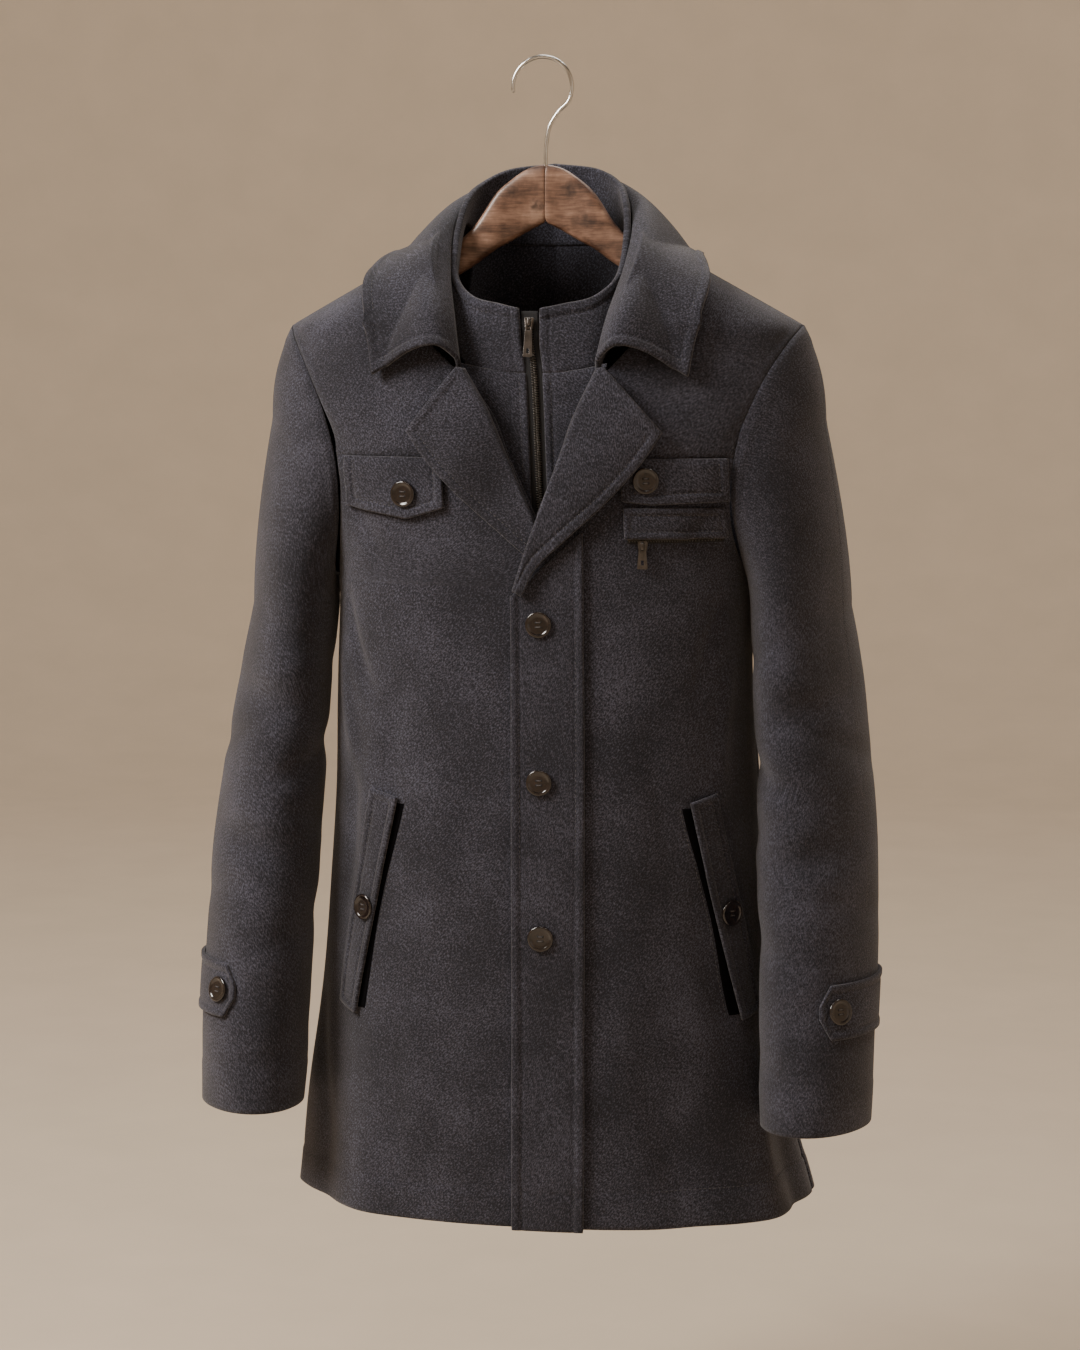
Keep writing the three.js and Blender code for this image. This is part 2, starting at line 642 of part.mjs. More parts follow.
function addBibs() {
  for (const side of [-1, 1]) {
    addPatch(`bib_${side > 0 ? 'left' : 'right'}`, 8, 6, clothWall, (u, v) => {
      const share = side > 0 ? u : 1 - u;
      const widest = THREE.MathUtils.lerp(64, 22, v);
      const offset = THREE.MathUtils.lerp(zipHalf, widest, share);
      const top = bibTopDrop - 8 * (offset / 60) ** 2;
      const drop = THREE.MathUtils.lerp(top, zipEndDrop, v);
      const middle = sample(zipLine, 'drop', 'across', drop) - sample(centreLine, 'drop', 'across', drop);
      // Its outer edge is sewn up to the back of the front
      const rise = (bibDepth - bibSeat) * THREE.MathUtils.smoothstep(share, 0.8, 1) * Math.min(v / 0.2, 1);
      return { angle: angleAt(side * offset + middle, drop), drop, lift: rise - bibDepth - clothWall };
    });
  }
}

function zipPoint(offset, drop, lift) {
  const front = sample(zipLine, 'drop', 'front', drop);
  return new THREE.Vector3(sample(zipLine, 'drop', 'across', drop) + offset, front - lift, -drop);
}

function addZip() {
  const strip = (name, half, low, high, look) => {
    const layer = (lift) => gridOf(14, 1, (u, v) => {
      const drop = THREE.MathUtils.lerp(zipTopDrop, zipEndDrop, v);
      return zipPoint(half * (2 * u - 1), drop, lift);
    });
    addMesh(name, closedShell(layer(high), layer(low), false), look);
  };
  strip('zip_tape', 7, -2.6, -1.2, darkTape);
  strip('zip_chain', 2.9, -0.9, 1.1, bronze);
}

function solidOf(geometry) {
  // A closed solid that can be joined to another, made from the bare corners
  const bare = geometry.clone();
  bare.deleteAttribute('normal');
  bare.deleteAttribute('uv');
  const merged = mergeVertices(bare, 1e-4);
  const vertProperties = new Float32Array(merged.attributes.position.array);
  const triVerts = new Uint32Array(merged.index.array);
  return new wasm.Manifold(new wasm.Mesh({ numProp: 3, vertProperties, triVerts }));
}

function joined(first, second) {
  const mesh = solidOf(first).add(solidOf(second)).getMesh();
  const geometry = new THREE.BufferGeometry();
  geometry.setAttribute('position', new THREE.Float32BufferAttribute(mesh.vertProperties, 3));
  geometry.setIndex([...mesh.triVerts]);
  return geometry;
}

function plateOf(outline, thick) {
  // An upright outline given its thickness towards the front
  const plate = { depth: thick, bevelEnabled: false, curveSegments: 6 };
  return new THREE.ExtrudeGeometry(outline, plate).rotateX(Math.PI / 2);
}

function sideways(profile, width) {
  // A profile in forward distance and height, given its width from left to right
  const geometry = new THREE.ExtrudeGeometry(profile, { depth: width, bevelEnabled: false });
  geometry.translate(0, 0, -width / 2);
  geometry.applyMatrix4(new THREE.Matrix4().makeBasis(
    new THREE.Vector3(0, -1, 0),
    new THREE.Vector3(0, 0, 1),
    new THREE.Vector3(-1, 0, 0),
  ));
  return geometry;
}

function addSlider(name, place, slope) {
  // A flat body, wider at its top, with an arch over its middle that holds the pull
  const profile = new THREE.Shape();
  const { low, high, thick, archOut, archWall, lowHalf, highHalf } = sliderSize;
  profile.moveTo(0, low);
  profile.lineTo(thick, low);
  profile.lineTo(thick, low + 1.6);
  profile.lineTo(archOut, low + 2.6);
  profile.lineTo(archOut, high - 1.2);
  profile.lineTo(thick, high);
  profile.lineTo(0, high);
  const eye = new THREE.Path();
  eye.moveTo(thick, low + 3.2);
  eye.lineTo(thick, high - archWall - 0.9);
  eye.lineTo(archOut - archWall, high - archWall - 1);
  eye.lineTo(archOut - archWall, low + 3.4);
  profile.holes.push(eye);
  const body = new THREE.Shape();
  body.moveTo(-lowHalf, low);
  body.lineTo(lowHalf, low);
  body.lineTo(highHalf, 0);
  body.lineTo(highHalf, high);
  body.lineTo(-highHalf, high);
  body.lineTo(-highHalf, 0);
  const geometry = joined(plateOf(body, thick), sideways(profile, sliderSize.width));
  const mesh = addMesh(name, geometry, bronze);
  mesh.position.copy(place);
  mesh.rotation.x = -slope;
}

function addPull(name, hinge, slope, size) {
  // A tapered plate with a slot for the slider's arch and a hole near its end
  const outline = new THREE.Shape();
  outline.moveTo(-size.neckHalf, pullTop);
  outline.lineTo(-size.neckHalf, -size.neck);
  outline.lineTo(-size.endHalf, -size.length + 1);
  outline.lineTo(-size.endHalf + 1, -size.length);
  outline.lineTo(size.endHalf - 1, -size.length);
  outline.lineTo(size.endHalf, -size.length + 1);
  outline.lineTo(size.neckHalf, -size.neck);
  outline.lineTo(size.neckHalf, pullTop);
  const slot = new THREE.Path();
  slot.moveTo(-size.slotHalf, -pullTop);
  slot.lineTo(size.slotHalf, -pullTop);
  slot.lineTo(size.slotHalf, -size.neck + 1);
  slot.lineTo(-size.slotHalf, -size.neck + 1);
  const hole = new THREE.Path();
  hole.absarc(0, -size.length + 4.2, 1.5, 0, 2 * Math.PI, false);
  outline.holes.push(slot, hole);
  const mesh = addMesh(name, plateOf(outline, pullThick).translate(0, pullThick / 2, 0), bronze);
  mesh.position.copy(hinge);
  mesh.rotation.x = -slope;
}

function addZipPulls() {
  // Each slider and its pull lie along the slope of the cloth under them
  for (const pull of zipPulls) {
    const at = (drop) => {
      if (pull.onChest) return frontPoint(pull.offset, drop, pull.lift);
      return zipPoint(0, drop, pull.lift);
    };
    const seat = at(pull.drop);
    const below = at(pull.drop + pull.length).sub(seat);
    const slope = Math.atan2(-below.y, -below.z);
    const out = new THREE.Vector3(0, -Math.cos(slope), Math.sin(slope)).multiplyScalar(pullOut);
    addSlider(`${pull.name}_slider`, seat, slope);
    addPull(`${pull.name}_pull`, seat.clone().add(out), slope, pull);
  }
}

function addFlaps() {
  for (const flap of chestFlaps) {
    addPatch(`chest_flap_${flap.hand}`, 5, 10, clothWall, (u, v) => {
      const offset = THREE.MathUtils.lerp(flap.from, flap.to, u);
      const nearEnd = offset < flap.point ? flap.from : flap.to;
      const toPoint = Math.abs(offset - flap.point) / Math.abs(nearEnd - flap.point);
      const tall = flap.tall - flap.rise * Math.min(toPoint, 1);
      const drop = yokeSeamDrop + 1 + tall * v;
      return { angle: angleAt(offset, drop), drop, lift: flapSeat + flapLift * v };
    });
  }
}

function addChestWelt() {
  addPatch('chest_welt', 3, 8, clothWall, (u, v) => {
    const offset = THREE.MathUtils.lerp(chestWelt.from, chestWelt.to, u);
    const drop = THREE.MathUtils.lerp(chestWelt.top, chestWelt.bottom, v);
    return { angle: angleAt(offset, drop), drop, lift: weltSeat + weltLift * v };
  });
}

function addHipWelts() {
  for (const side of [-1, 1]) {
    addPatch(`hip_welt_${side > 0 ? 'left' : 'right'}`, 9, 3, clothWall, (u, v) => {
      const share = side > 0 ? u : 1 - u;
      const drop = THREE.MathUtils.lerp(hipWelt.top, hipWelt.bottom, v) - hipWelt.rise * share;
      const slit = THREE.MathUtils.lerp(hipWelt.upper, side > 0 ? hipWelt.lowerLeft : hipWelt.lowerRight, v);
      const angle = angleAt(side * slit, drop) + side * hipWelt.turn * share;
      return { angle, drop, lift: weltSeat + weltLift * (1 - share) };
    });
  }
}

function sleeveSurface(side, t, drop, lift) {
  const hand = side > 0 ? 'left' : 'right';
  const shift = (sleeveShift[hand] * (drop - headDrop)) / (cuffDrop - headDrop);
  const at = (angle, low) => {
    const ring = sleevePoint(angle, low);
    return new THREE.Vector3(side * ring.across + shift, ring.along, -low);
  };
  const round = at(t + 0.05, drop).sub(at(t - 0.05, drop));
  const normal = round.cross(at(t, drop + 3).sub(at(t, drop - 3))).normalize().multiplyScalar(side);
  return { point: at(t, drop).addScaledVector(normal, lift), normal };
}

function addCuffTabs() {
  for (const side of [-1, 1]) {
    const layer = (lift) => gridOf(3, 10, (u, v) => {
      const share = side > 0 ? 1 - u : u;
      const t = THREE.MathUtils.degToRad(THREE.MathUtils.lerp(cuffTab.back, cuffTab.front, share));
      const taper = Math.min(0.25 + (1 - share) / 0.13, 1);
      const drop = cuffTab.drop + cuffTab.half * taper * (2 * v - 1);
      return sleeveSurface(side, t, drop, lift).point;
    });
    const geometry = closedShell(layer(tabLift + clothWall), layer(tabLift), false);
    addMesh(`cuff_tab_${side > 0 ? 'left' : 'right'}`, geometry, cloth);
  }
}

function addButton(name, place, normal) {
  const r = buttonRadius;
  const rim = [[0, 0], [0.8 * r, 0], [r, 1.1], [r, 2.2], [0.9 * r, 3]];
  const profile = [...rim, [0.74 * r, 2.5], [0.66 * r, 1.9], [0, 1.9]];
  const geometry = new THREE.LatheGeometry(profile.map(([x, y]) => new THREE.Vector2(x, y)), 14);
  const mesh = addMesh(name, geometry, darkHorn);
  mesh.quaternion.setFromUnitVectors(new THREE.Vector3(0, 1, 0), normal);
  mesh.position.copy(place);
}

function addButtons() {
  for (const row of bodyButtons) {
    const angle = angleAt(row.offset, row.drop);
    const lift = overlayLift + clothWall + row.lift;
    addButton(row.name, clothPoint(angle, row.drop, lift), bodyNormal(angle, row.drop));
  }
  for (const side of [-1, 1]) {
    const t = THREE.MathUtils.degToRad(cuffTab.button);
    const seat = sleeveSurface(side, t, cuffTab.drop, tabLift + clothWall + buttonGap);
    addButton(`button_cuff_${side > 0 ? 'left' : 'right'}`, seat.point, seat.normal);
  }
}

function cappedTube(rings) {
  const count = rings[0].length;
  const positions = rings.flat().flatMap((point) => [point.x, point.y, point.z]);
  const index = [];
  for (let r = 0; r < rings.length - 1; r += 1) {
    for (let c = 0; c < count; c += 1) {
      const a = r * count + c;
      const b = r * count + ((c + 1) % count);
      index.push(a, b, b + count, a, b + count, a + count);
    }
  }
  const last = (rings.length - 1) * count;
  for (let c = 1; c < count - 1; c += 1) {
    index.push(0, c + 1, c, last, last + c, last + c + 1);
  }
  const geometry = new THREE.BufferGeometry();
  geometry.setAttribute('position', new THREE.Float32BufferAttribute(positions, 3));
  geometry.setIndex(index);
  return geometry;
}

function addHanger() {
  const round = 12;
  for (const side of [-1, 1]) {
    const rings = [];
    for (let s = 0; s <= 16; s += 1) {
      const across = THREE.MathUtils.lerp(seamGap / 2, hangerHalf, (s / 16) ** 1.2);
      const at = (column) => sample(hangerSections, 'across', column, across);
      const middle = (at('top') + at('bottom')) / 2;
      const tall = (at('bottom') - at('top')) / 2;
      const ring = [];
      for (let c = 0; c < round; c += 1) {
        const turn = side * ((2 * Math.PI * (c + 0.5)) / round);
        ring.push(new THREE.Vector3(
          side * across,
          at('along') + at('thick') * signedPower(Math.cos(turn), 0.55),
          -middle + tall * signedPower(Math.sin(turn), 0.55),
        ));
      }
      rings.push(ring);
    }
    addMesh(`hanger_${side > 0 ? 'left' : 'right'}`, cappedTube(rings), walnut);
  }
}

function addHook() {
  const centre = new THREE.Vector2(-3, wireRadius - hookRadius);
  const points = [];
  for (let degrees = 190; degrees >= -30; degrees -= 20) {
    const turn = THREE.MathUtils.degToRad(degrees);
    const across = centre.x + hookRadius * Math.cos(turn);
    points.push(new THREE.Vector3(across, 0, centre.y + hookRadius * Math.sin(turn)));
  }
  points.push(new THREE.Vector3(12, 0, -45), new THREE.Vector3(4, 0, -57));
  points.push(new THREE.Vector3(1, 0, -70), new THREE.Vector3(0, 0, -hangerSections[0].top - seamGap / 2));
  const wire = new THREE.Shape().absarc(0, 0, wireRadius, 0, 2 * Math.PI, false);
  const path = new THREE.CatmullRomCurve3(points);
  const geometry = new THREE.ExtrudeGeometry(wire, { steps: 34, curveSegments: 4, extrudePath: path });
  addMesh('hook', geometry, steel);
}

addFronts();
addBack();
addSleeves();
addPlacket();
addLapels();
addCollar();
addStand();
addBibs();
addZip();
addFlaps();
addChestWelt();
addHipWelts();
addCuffTabs();
addButtons();
addZipPulls();
addHanger();
addHook();

export default coat;
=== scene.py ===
import math

import bpy
import numpy as np
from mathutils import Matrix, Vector


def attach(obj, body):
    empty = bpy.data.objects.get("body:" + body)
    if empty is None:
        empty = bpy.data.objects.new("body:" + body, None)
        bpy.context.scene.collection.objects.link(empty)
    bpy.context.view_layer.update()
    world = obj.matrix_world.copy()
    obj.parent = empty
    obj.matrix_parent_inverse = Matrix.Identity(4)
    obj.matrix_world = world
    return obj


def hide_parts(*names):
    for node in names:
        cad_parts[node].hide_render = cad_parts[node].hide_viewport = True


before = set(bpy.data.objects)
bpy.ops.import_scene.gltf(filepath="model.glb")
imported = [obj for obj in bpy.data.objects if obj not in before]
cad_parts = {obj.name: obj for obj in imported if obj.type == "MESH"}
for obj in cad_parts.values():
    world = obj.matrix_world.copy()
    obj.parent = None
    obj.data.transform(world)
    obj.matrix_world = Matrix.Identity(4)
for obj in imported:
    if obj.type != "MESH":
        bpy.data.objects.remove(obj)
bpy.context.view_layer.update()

# Wool overcoat on a wooden hanger. Surfaces are worked out in millimetres and
# scaled to metres when a mesh is made. drop is the distance below the hook's top.
scale = 0.001
clothWall = 2.6
doubledWall = 4.2
seamGap = 0.3
hemDrop = 1016.0
yokeSeamDrop = 343.0
panelTopDrop = 165.0
neckDrop = 146.0
neckHalf = 75.0
shoulderDrop = 231.0
shoulderHalf = 228.0
armholeHeight = 224.0
armholeFront = 78.0
armholeBack = 86.0
armholeAcross = (191, 21, 16)
armholeDrop = shoulderDrop + armholeHeight / 2
underarmDrop = shoulderDrop + armholeHeight
armholeGap = -0.5
seamAngle = 0.003
cuffDrop = 926.0
headDrop = 480.0
stitchMargin = 8.0
overlayLift = 1.2
foldEnd = 1100.0
grooveWidth = 1.5
lineWidth = 1.6
rimBulge = 0.3
blockEnd = 0.93
shoulderRounding = {"reach": 42, "fadeFrom": 0.86, "fadeTo": 0.985, "pull": 0.5}
hands = ((-1, "right"), (1, "left"))
allSides = ["left", "right", "top", "bottom"]

# drop, front, back, lean, middle, power
bodySections = np.array([
    [146, 70, 76, 0, 0, 2.3], [190, 84, 91, 0, 0, 2.3], [231, 93, 101, 0, 0, 2.3],
    [270, 100, 108, 0, 0, 2.35], [345, 109, 116, 0, 0, 2.4], [400, 113, 118, 0, 0, 2.4],
    [455, 116, 117, 0, 0, 2.45], [560, 119, 112, 0, 8, 2.45], [700, 122, 112, 0, 18, 2.4],
    [850, 122, 118, 0, 26, 2.35], [950, 122, 121, 1, 30, 2.35], [1016, 123, 124, 7, 30, 2.4],
])
bodyWidths = np.array([[455, 186], [475, 185], [560, 187], [700, 196], [850, 209], [950, 223], [1016, 235.0]])
centreLine = np.array([[217, -2], [270, 3], [345, 7], [455, 11], [700, 13], [1016, 13.0]])
turnLine = np.array([
    [168, 96], [190, 104], [225, 102], [250, 86], [272, 62], [303, 37],
    [345, 21], [380, 6], [415, -8], [462, -18.0],
])
# Long soft folds of the hanging cloth: place in degrees, half angle, depth, drop where it starts
bodyFolds = np.array([
    [-58, 9, -5, 470], [-36, 8, 3, 600], [34, 8, -4, 520], [57, 9, 4, 640], [76, 7, -5, 700],
    [-80, 7, 4, 720], [118, 10, -6, 480], [146, 11, 5, 520], [172, 10, -5, 560], [-152, 11, 5, 500],
    [-124, 10, -6, 540.0],
])
# Short creases: from degrees and drop, to degrees and drop, half width, depth
bodyCreases = np.array([
    [-62, 462, -44, 560, 11, -2.6], [-66, 500, -52, 640, 13, 2.2], [-50, 580, -60, 760, 15, -2.4],
    [-30, 520, -40, 700, 16, -1.6], [-72, 820, -60, 1000, 14, -2.6], [-22, 800, -26, 1000, 15, 1.8],
    [60, 468, 46, 560, 11, -2.4], [66, 520, 54, 650, 13, 2.0], [30, 560, 38, 720, 16, -1.8],
    [44, 700, 54, 900, 17, -2.4], [26, 820, 30, 1005, 15, -2.0], [68, 860, 60, 1005, 13, 2.2],
    [-8, 560, -14, 760, 14, -1.2], [16, 640, 12, 900, 15, -1.3],
    [120, 470, 140, 600, 14, -2.8], [-118, 470, -142, 610, 15, -2.6], [150, 600, 158, 860, 18, 2.4],
    [-150, 640, -160, 900, 18, -2.4], [176, 520, 178, 800, 17, -1.8], [128, 760, 120, 1000, 16, 2.4],
    [-130, 760, -122, 1005, 16, 2.6], [104, 560, 110, 760, 12, -2.2], [-102, 560, -110, 780, 12, -2.4],
    [-40, 262, -20, 300, 12, -1.2], [44, 266, 24, 300, 12, -1.0], [-56, 300, -40, 340, 12, -1.4],
    [58, 300, 44, 338, 11, -1.4], [-48, 360, -38, 440, 13, -1.6], [50, 380, 38, 450, 12, -1.5],
    [150, 240, 165, 330, 16, -2.0], [-152, 240, -166, 330, 16, -2.0], [128, 330, 142, 420, 13, -2.2],
    [-128, 330, -142, 420, 13, -2.2],
])


def curveAt(rows, column, at):
    # Hermite curve: y0(1-r) + y1 r + s0 h t(1-t)^2 + s1 h t^2(t-1), with r = t^2(3-2t)
    x, y = rows[:, 0], rows[:, column]
    at = np.clip(np.asarray(at, float), x[0], x[-1])
    slope = np.empty_like(y)
    slope[1:-1] = (y[2:] - y[:-2]) / (x[2:] - x[:-2])
    slope[0] = (y[1] - y[0]) / (x[1] - x[0])
    slope[-1] = (y[-1] - y[-2]) / (x[-1] - x[-2])
    i = np.clip(np.searchsorted(x, at, side="right") - 1, 0, len(x) - 2)
    span = x[i + 1] - x[i]
    t = (at - x[i]) / span
    rise = t * t * (3 - 2 * t)
    bend = slope[i] * span * t * (1 - t) ** 2 + slope[i + 1] * span * t * t * (t - 1)
    return y[i] * (1 - rise) + y[i + 1] * rise + bend


def signedPower(value, exponent):
    # sign(v) |v|^e
    return np.sign(value) * np.abs(value) ** exponent


def smoothStep(value, low, high):
    # t^2 (3 - 2t), t from 0 at low to 1 at high
    t = np.clip((value - low) / (high - low), 0, 1)
    return t * t * (3 - 2 * t)


def mix(a, b, t):
    # a (1-t) + b t
    return a + (b - a) * t


def unit(vectors):
    # v / |v|
    return vectors / np.maximum(np.linalg.norm(vectors, axis=-1, keepdims=True), 1e-9)


def armholePoint(t):
    # across = 191 + 21 cos t + 16 cos 2t, along = -depth sin t, drop = middle - half cos t
    depth = np.where(np.sin(t) > 0, armholeFront, armholeBack)
    across = armholeAcross[0] + armholeAcross[1] * np.cos(t) + armholeAcross[2] * np.cos(2 * t)
    return across, -depth * np.sin(t), armholeDrop - armholeHeight / 2 * np.cos(t)


def armholeTurn(drop, isFront):
    # t where the armhole loop passes this drop: positive on the front half, negative behind
    turn = np.arccos(np.clip((armholeDrop - drop) / (armholeHeight / 2), -1, 1))
    return np.where(isFront, turn, -turn)


def halfWidth(drop, isFront):
    # Straight slope on the shoulder, a ring through the armhole loop beside it, the table below it
    shoulder = neckHalf + (drop - neckDrop) * (shoulderHalf - neckHalf) / (shoulderDrop - neckDrop)
    across, along, _ = armholePoint(armholeTurn(drop, isFront))
    depth = np.where(isFront, curveAt(bodySections, 1, drop), curveAt(bodySections, 2, drop))
    power = curveAt(bodySections, 5, drop)
    beside = across / (1 - np.abs(along / depth) ** power) ** (1 / power)
    below = curveAt(bodyWidths, 1, drop)
    return np.where(drop <= shoulderDrop, shoulder, np.where(drop >= underarmDrop, below, beside))


def foldDepth(angle, drop):
    # Sum of depth * fade(drop) * exp(-(away / spread)^2) over the long folds
    degrees = np.degrees(angle)[..., None] - bodyFolds[:, 0]
    away = ((degrees + 180) % 360 - 180) / bodyFolds[:, 1]
    fade = smoothStep(drop[..., None], bodyFolds[:, 3], foldEnd)
    return (bodyFolds[:, 2] * fade * np.exp(-away * away)).sum(-1)


def creaseDepth(angle, drop):
    # Each crease: depth * exp(-(distance to its line / half width)^2), fading to its ends,
    # and a slow unevenness over the whole coat
    reach = 190.0
    turned = (np.degrees(angle) + 180) % 360 - 180
    total = np.zeros(np.broadcast(turned, drop).shape)
    for a0, d0, a1, d1, wide, depth in bodyCreases:
        side = np.where(turned * a0 < 0, np.abs(turned) > 150, False)
        place = np.where(side, turned + np.sign(a0) * 360, turned)
        x, y = np.radians(place - a0) * reach, drop - d0
        lineX, lineY = math.radians(a1 - a0) * reach, d1 - d0
        long = math.hypot(lineX, lineY)
        run = (x * lineX + y * lineY) / long
        off = (x * lineY - y * lineX) / long + 5 * np.sin(run / 31)
        beyond = np.maximum(np.maximum(-run, run - long), 0)
        ends = np.sin(np.pi * np.clip(run / long, 0, 1)) ** 0.7
        total += depth * ends * np.exp(-(off / wide) ** 2 - (beyond / 20) ** 2)
    slow = 0.5 * np.sin(drop / 47 + 3 * angle) + 0.4 * np.sin(drop / 29 - 5 * angle + 1)
    return total + slow * smoothStep(drop, 240, 320)


def bodyPoint(angle, drop):
    # Superellipse ring: x = lean + swell half spow(sin, 2/p), y = middle - swell reach spow(cos, 2/p)
    angle, drop = np.broadcast_arrays(np.asarray(angle, float), np.asarray(drop, float))
    isFront = np.cos(angle) >= 0
    power = curveAt(bodySections, 5, drop)
    middle = curveAt(bodySections, 4, drop)
    depth = np.where(isFront, curveAt(bodySections, 1, drop) + middle, curveAt(bodySections, 2, drop) - middle)
    swell = 1 + (foldDepth(angle, drop) + creaseDepth(angle, drop)) / depth
    x = curveAt(bodySections, 3, drop) + swell * halfWidth(drop, isFront) * signedPower(np.sin(angle), 2 / power)
    y = middle - swell * depth * signedPower(np.cos(angle), 2 / power)
    return np.stack([x, y, -drop], -1)


def bodyNormal(angle, drop):
    # Cross product of the steps down and round
    around = bodyPoint(angle + 0.02, drop) - bodyPoint(angle - 0.02, drop)
    down = bodyPoint(angle, drop + 3) - bodyPoint(angle, drop - 3)
    return unit(np.cross(down, around))


def clothPoint(angle, drop, lift):
    # Point of the coat moved out along its normal by the lift
    angle, drop, lift = np.broadcast_arrays(angle, drop, lift)
    return bodyPoint(angle, drop) + bodyNormal(angle, drop) * lift[..., None]


def angleAt(offset, drop):
    # Angle on the front half at a distance from the centre line: asin(spow(share, p/2))
    power = curveAt(bodySections, 5, drop)
    across = curveAt(centreLine, 1, drop) + offset - curveAt(bodySections, 3, drop)
    share = np.clip(across / halfWidth(drop, True), -1, 1)
    return np.arcsin(signedPower(share, power / 2))


def frontPoint(offset, drop, lift):
    # Point at a distance from the centre line of the front
    return clothPoint(angleAt(offset, drop), drop, lift)


def outerAngle(drop, isFront):
    # Edge of a body panel: beside the armhole it stops just short of the loop, elsewhere at the side seam
    across, _, _ = armholePoint(armholeTurn(drop, isFront))
    power = curveAt(bodySections, 5, drop)
    share = np.clip((across - armholeGap) / halfWidth(drop, isFront), 0, 1)
    beside = np.minimum(np.arcsin(share ** (power / 2)), math.pi / 2 - seamAngle)
    return np.where((drop <= shoulderDrop) | (drop >= underarmDrop), math.pi / 2 - seamAngle, beside)


def spacedDrops(start, end, count):
    # Row heights, even above and below the armhole and cosine spaced beside it, one on each of its ends
    top = np.linspace(start, shoulderDrop, max(int(count * (shoulderDrop - start) / (end - start)), 1) + 1)[:-1]
    low, high = max(start, shoulderDrop), min(end, underarmDrop)
    turnLow = math.acos((armholeDrop - low) / (armholeHeight / 2))
    turnHigh = math.acos((armholeDrop - high) / (armholeHeight / 2))
    beside = max(int(count * (high - low) / (end - start)), 2)
    middle = armholeDrop - armholeHeight / 2 * np.cos(np.linspace(turnLow, turnHigh, beside + 1))
    below = np.linspace(underarmDrop, end, max(int(count * (end - underarmDrop) / (end - start)), 1) + 1)[1:]
    parts = [top] if start < shoulderDrop else []
    parts += [middle] + ([below] if end > underarmDrop else [])
    return np.concatenate(parts)


def gridNormals(grid, tube=False):
    # Cross product of the steps down the rows and along the columns
    down = np.gradient(grid, axis=0)
    if tube:
        across = np.roll(grid, -1, 1) - np.roll(grid, 1, 1)
    else:
        across = np.gradient(grid, axis=1)
    return unit(np.cross(down, across))


def runLengths(grid, axis):
    # Arc length from the first point along one way of a grid
    steps = np.linalg.norm(np.diff(grid, axis=axis), axis=-1)
    total = np.cumsum(steps, axis=axis)
    return np.concatenate([np.zeros_like(np.take(total, [0], axis=axis)), total], axis=axis)


def edgeDistances(grid):
    # Distance in mm from the left, right, top and bottom edge of a grid
    across, down = runLengths(grid, 1), runLengths(grid, 0)
    return {"left": across, "right": across[:, -1:] - across, "top": down, "bottom": down[-1:] - down}


def nearestEdge(grid, sides):
    # Distance in mm from the nearest of the named edges
    far = edgeDistances(grid)
    return np.min(np.stack([far[side] for side in sides]), axis=0)


def sewnMargin(grid, sides, margin=stitchMargin, ridge=0.7, groove=0.9):
    # Height over a grid: ridge inside the margin, falling into a groove where it is sewn
    distance = nearestEdge(grid, sides)
    raised = ridge * (1 - smoothStep(distance, margin - 2, margin + 1))
    return raised - groove * np.exp(-((distance - margin) / grooveWidth) ** 2)


stitchPaths = []


def sewMargin(grid, sides, margin=stitchMargin, start=0.0, end=0.0):
    # Lines of sewing at a fixed distance from edges, found on each row or column by interpolation
    allNormals = gridNormals(grid)
    for side in sides:
        work, normals = grid, allNormals
        if side in ("top", "bottom"):
            work, normals = work.transpose(1, 0, 2), normals.transpose(1, 0, 2)
        if side in ("right", "bottom"):
            work, normals = work[:, ::-1], normals[:, ::-1]
        run = runLengths(work, 1)
        column = np.clip((run < margin).sum(1) - 1, 0, work.shape[1] - 2)
        rows = np.arange(len(work))
        span = np.maximum(run[rows, column + 1] - run[rows, column], 1e-6)
        share = np.clip((margin - run[rows, column]) / span, 0, 1)[:, None]
        path = mix(work[rows, column], work[rows, column + 1], share)
        out = unit(mix(normals[rows, column], normals[rows, column + 1], share))
        along = runLengths(path[None], 1)[0]
        keep = (along >= start) & (along <= along[-1] - end)
        stitchPaths.append((path[keep], out[keep]))


def roundedShoulder(grid, edgeShare, steps):
    # Repeated averages of the rows above and below, strongest at the shoulder line, none at the armhole edge
    drop = -grid[..., 2]
    fade = 1 - smoothStep(edgeShare, shoulderRounding["fadeFrom"], shoulderRounding["fadeTo"])
    mask = np.exp(-((drop - shoulderDrop) / shoulderRounding["reach"]) ** 2) * fade
    soft = grid.copy()
    for _ in range(steps):
        middle = (soft[:-2] + soft[2:]) / 2
        soft[1:-1] += shoulderRounding["pull"] * mask[1:-1, :, None] * (middle - soft[1:-1])
    return soft


def makeMesh(name, points, faces, uv=None, smooth=True):
    # Points in mm become a mesh in metres at the origin
    name = name.replace(" ", "-")
    mesh = bpy.data.meshes.new(name)
    corners = faces if isinstance(faces, list) else faces.tolist()
    mesh.from_pydata((np.asarray(points) * scale).tolist(), [], corners)
    if uv is not None:
        layer = mesh.uv_layers.new(name="cloth")
        loops = np.empty(len(mesh.loops), dtype=np.int32)
        mesh.loops.foreach_get("vertex_index", loops)
        layer.data.foreach_set("uv", (np.asarray(uv)[loops] * scale).astype(np.float32).ravel())
    mesh.polygons.foreach_set("use_smooth", np.full(len(mesh.polygons), smooth))
    mesh.update()
    obj = bpy.data.objects.new(name, mesh)
    bpy.context.scene.collection.objects.link(obj)
    return obj


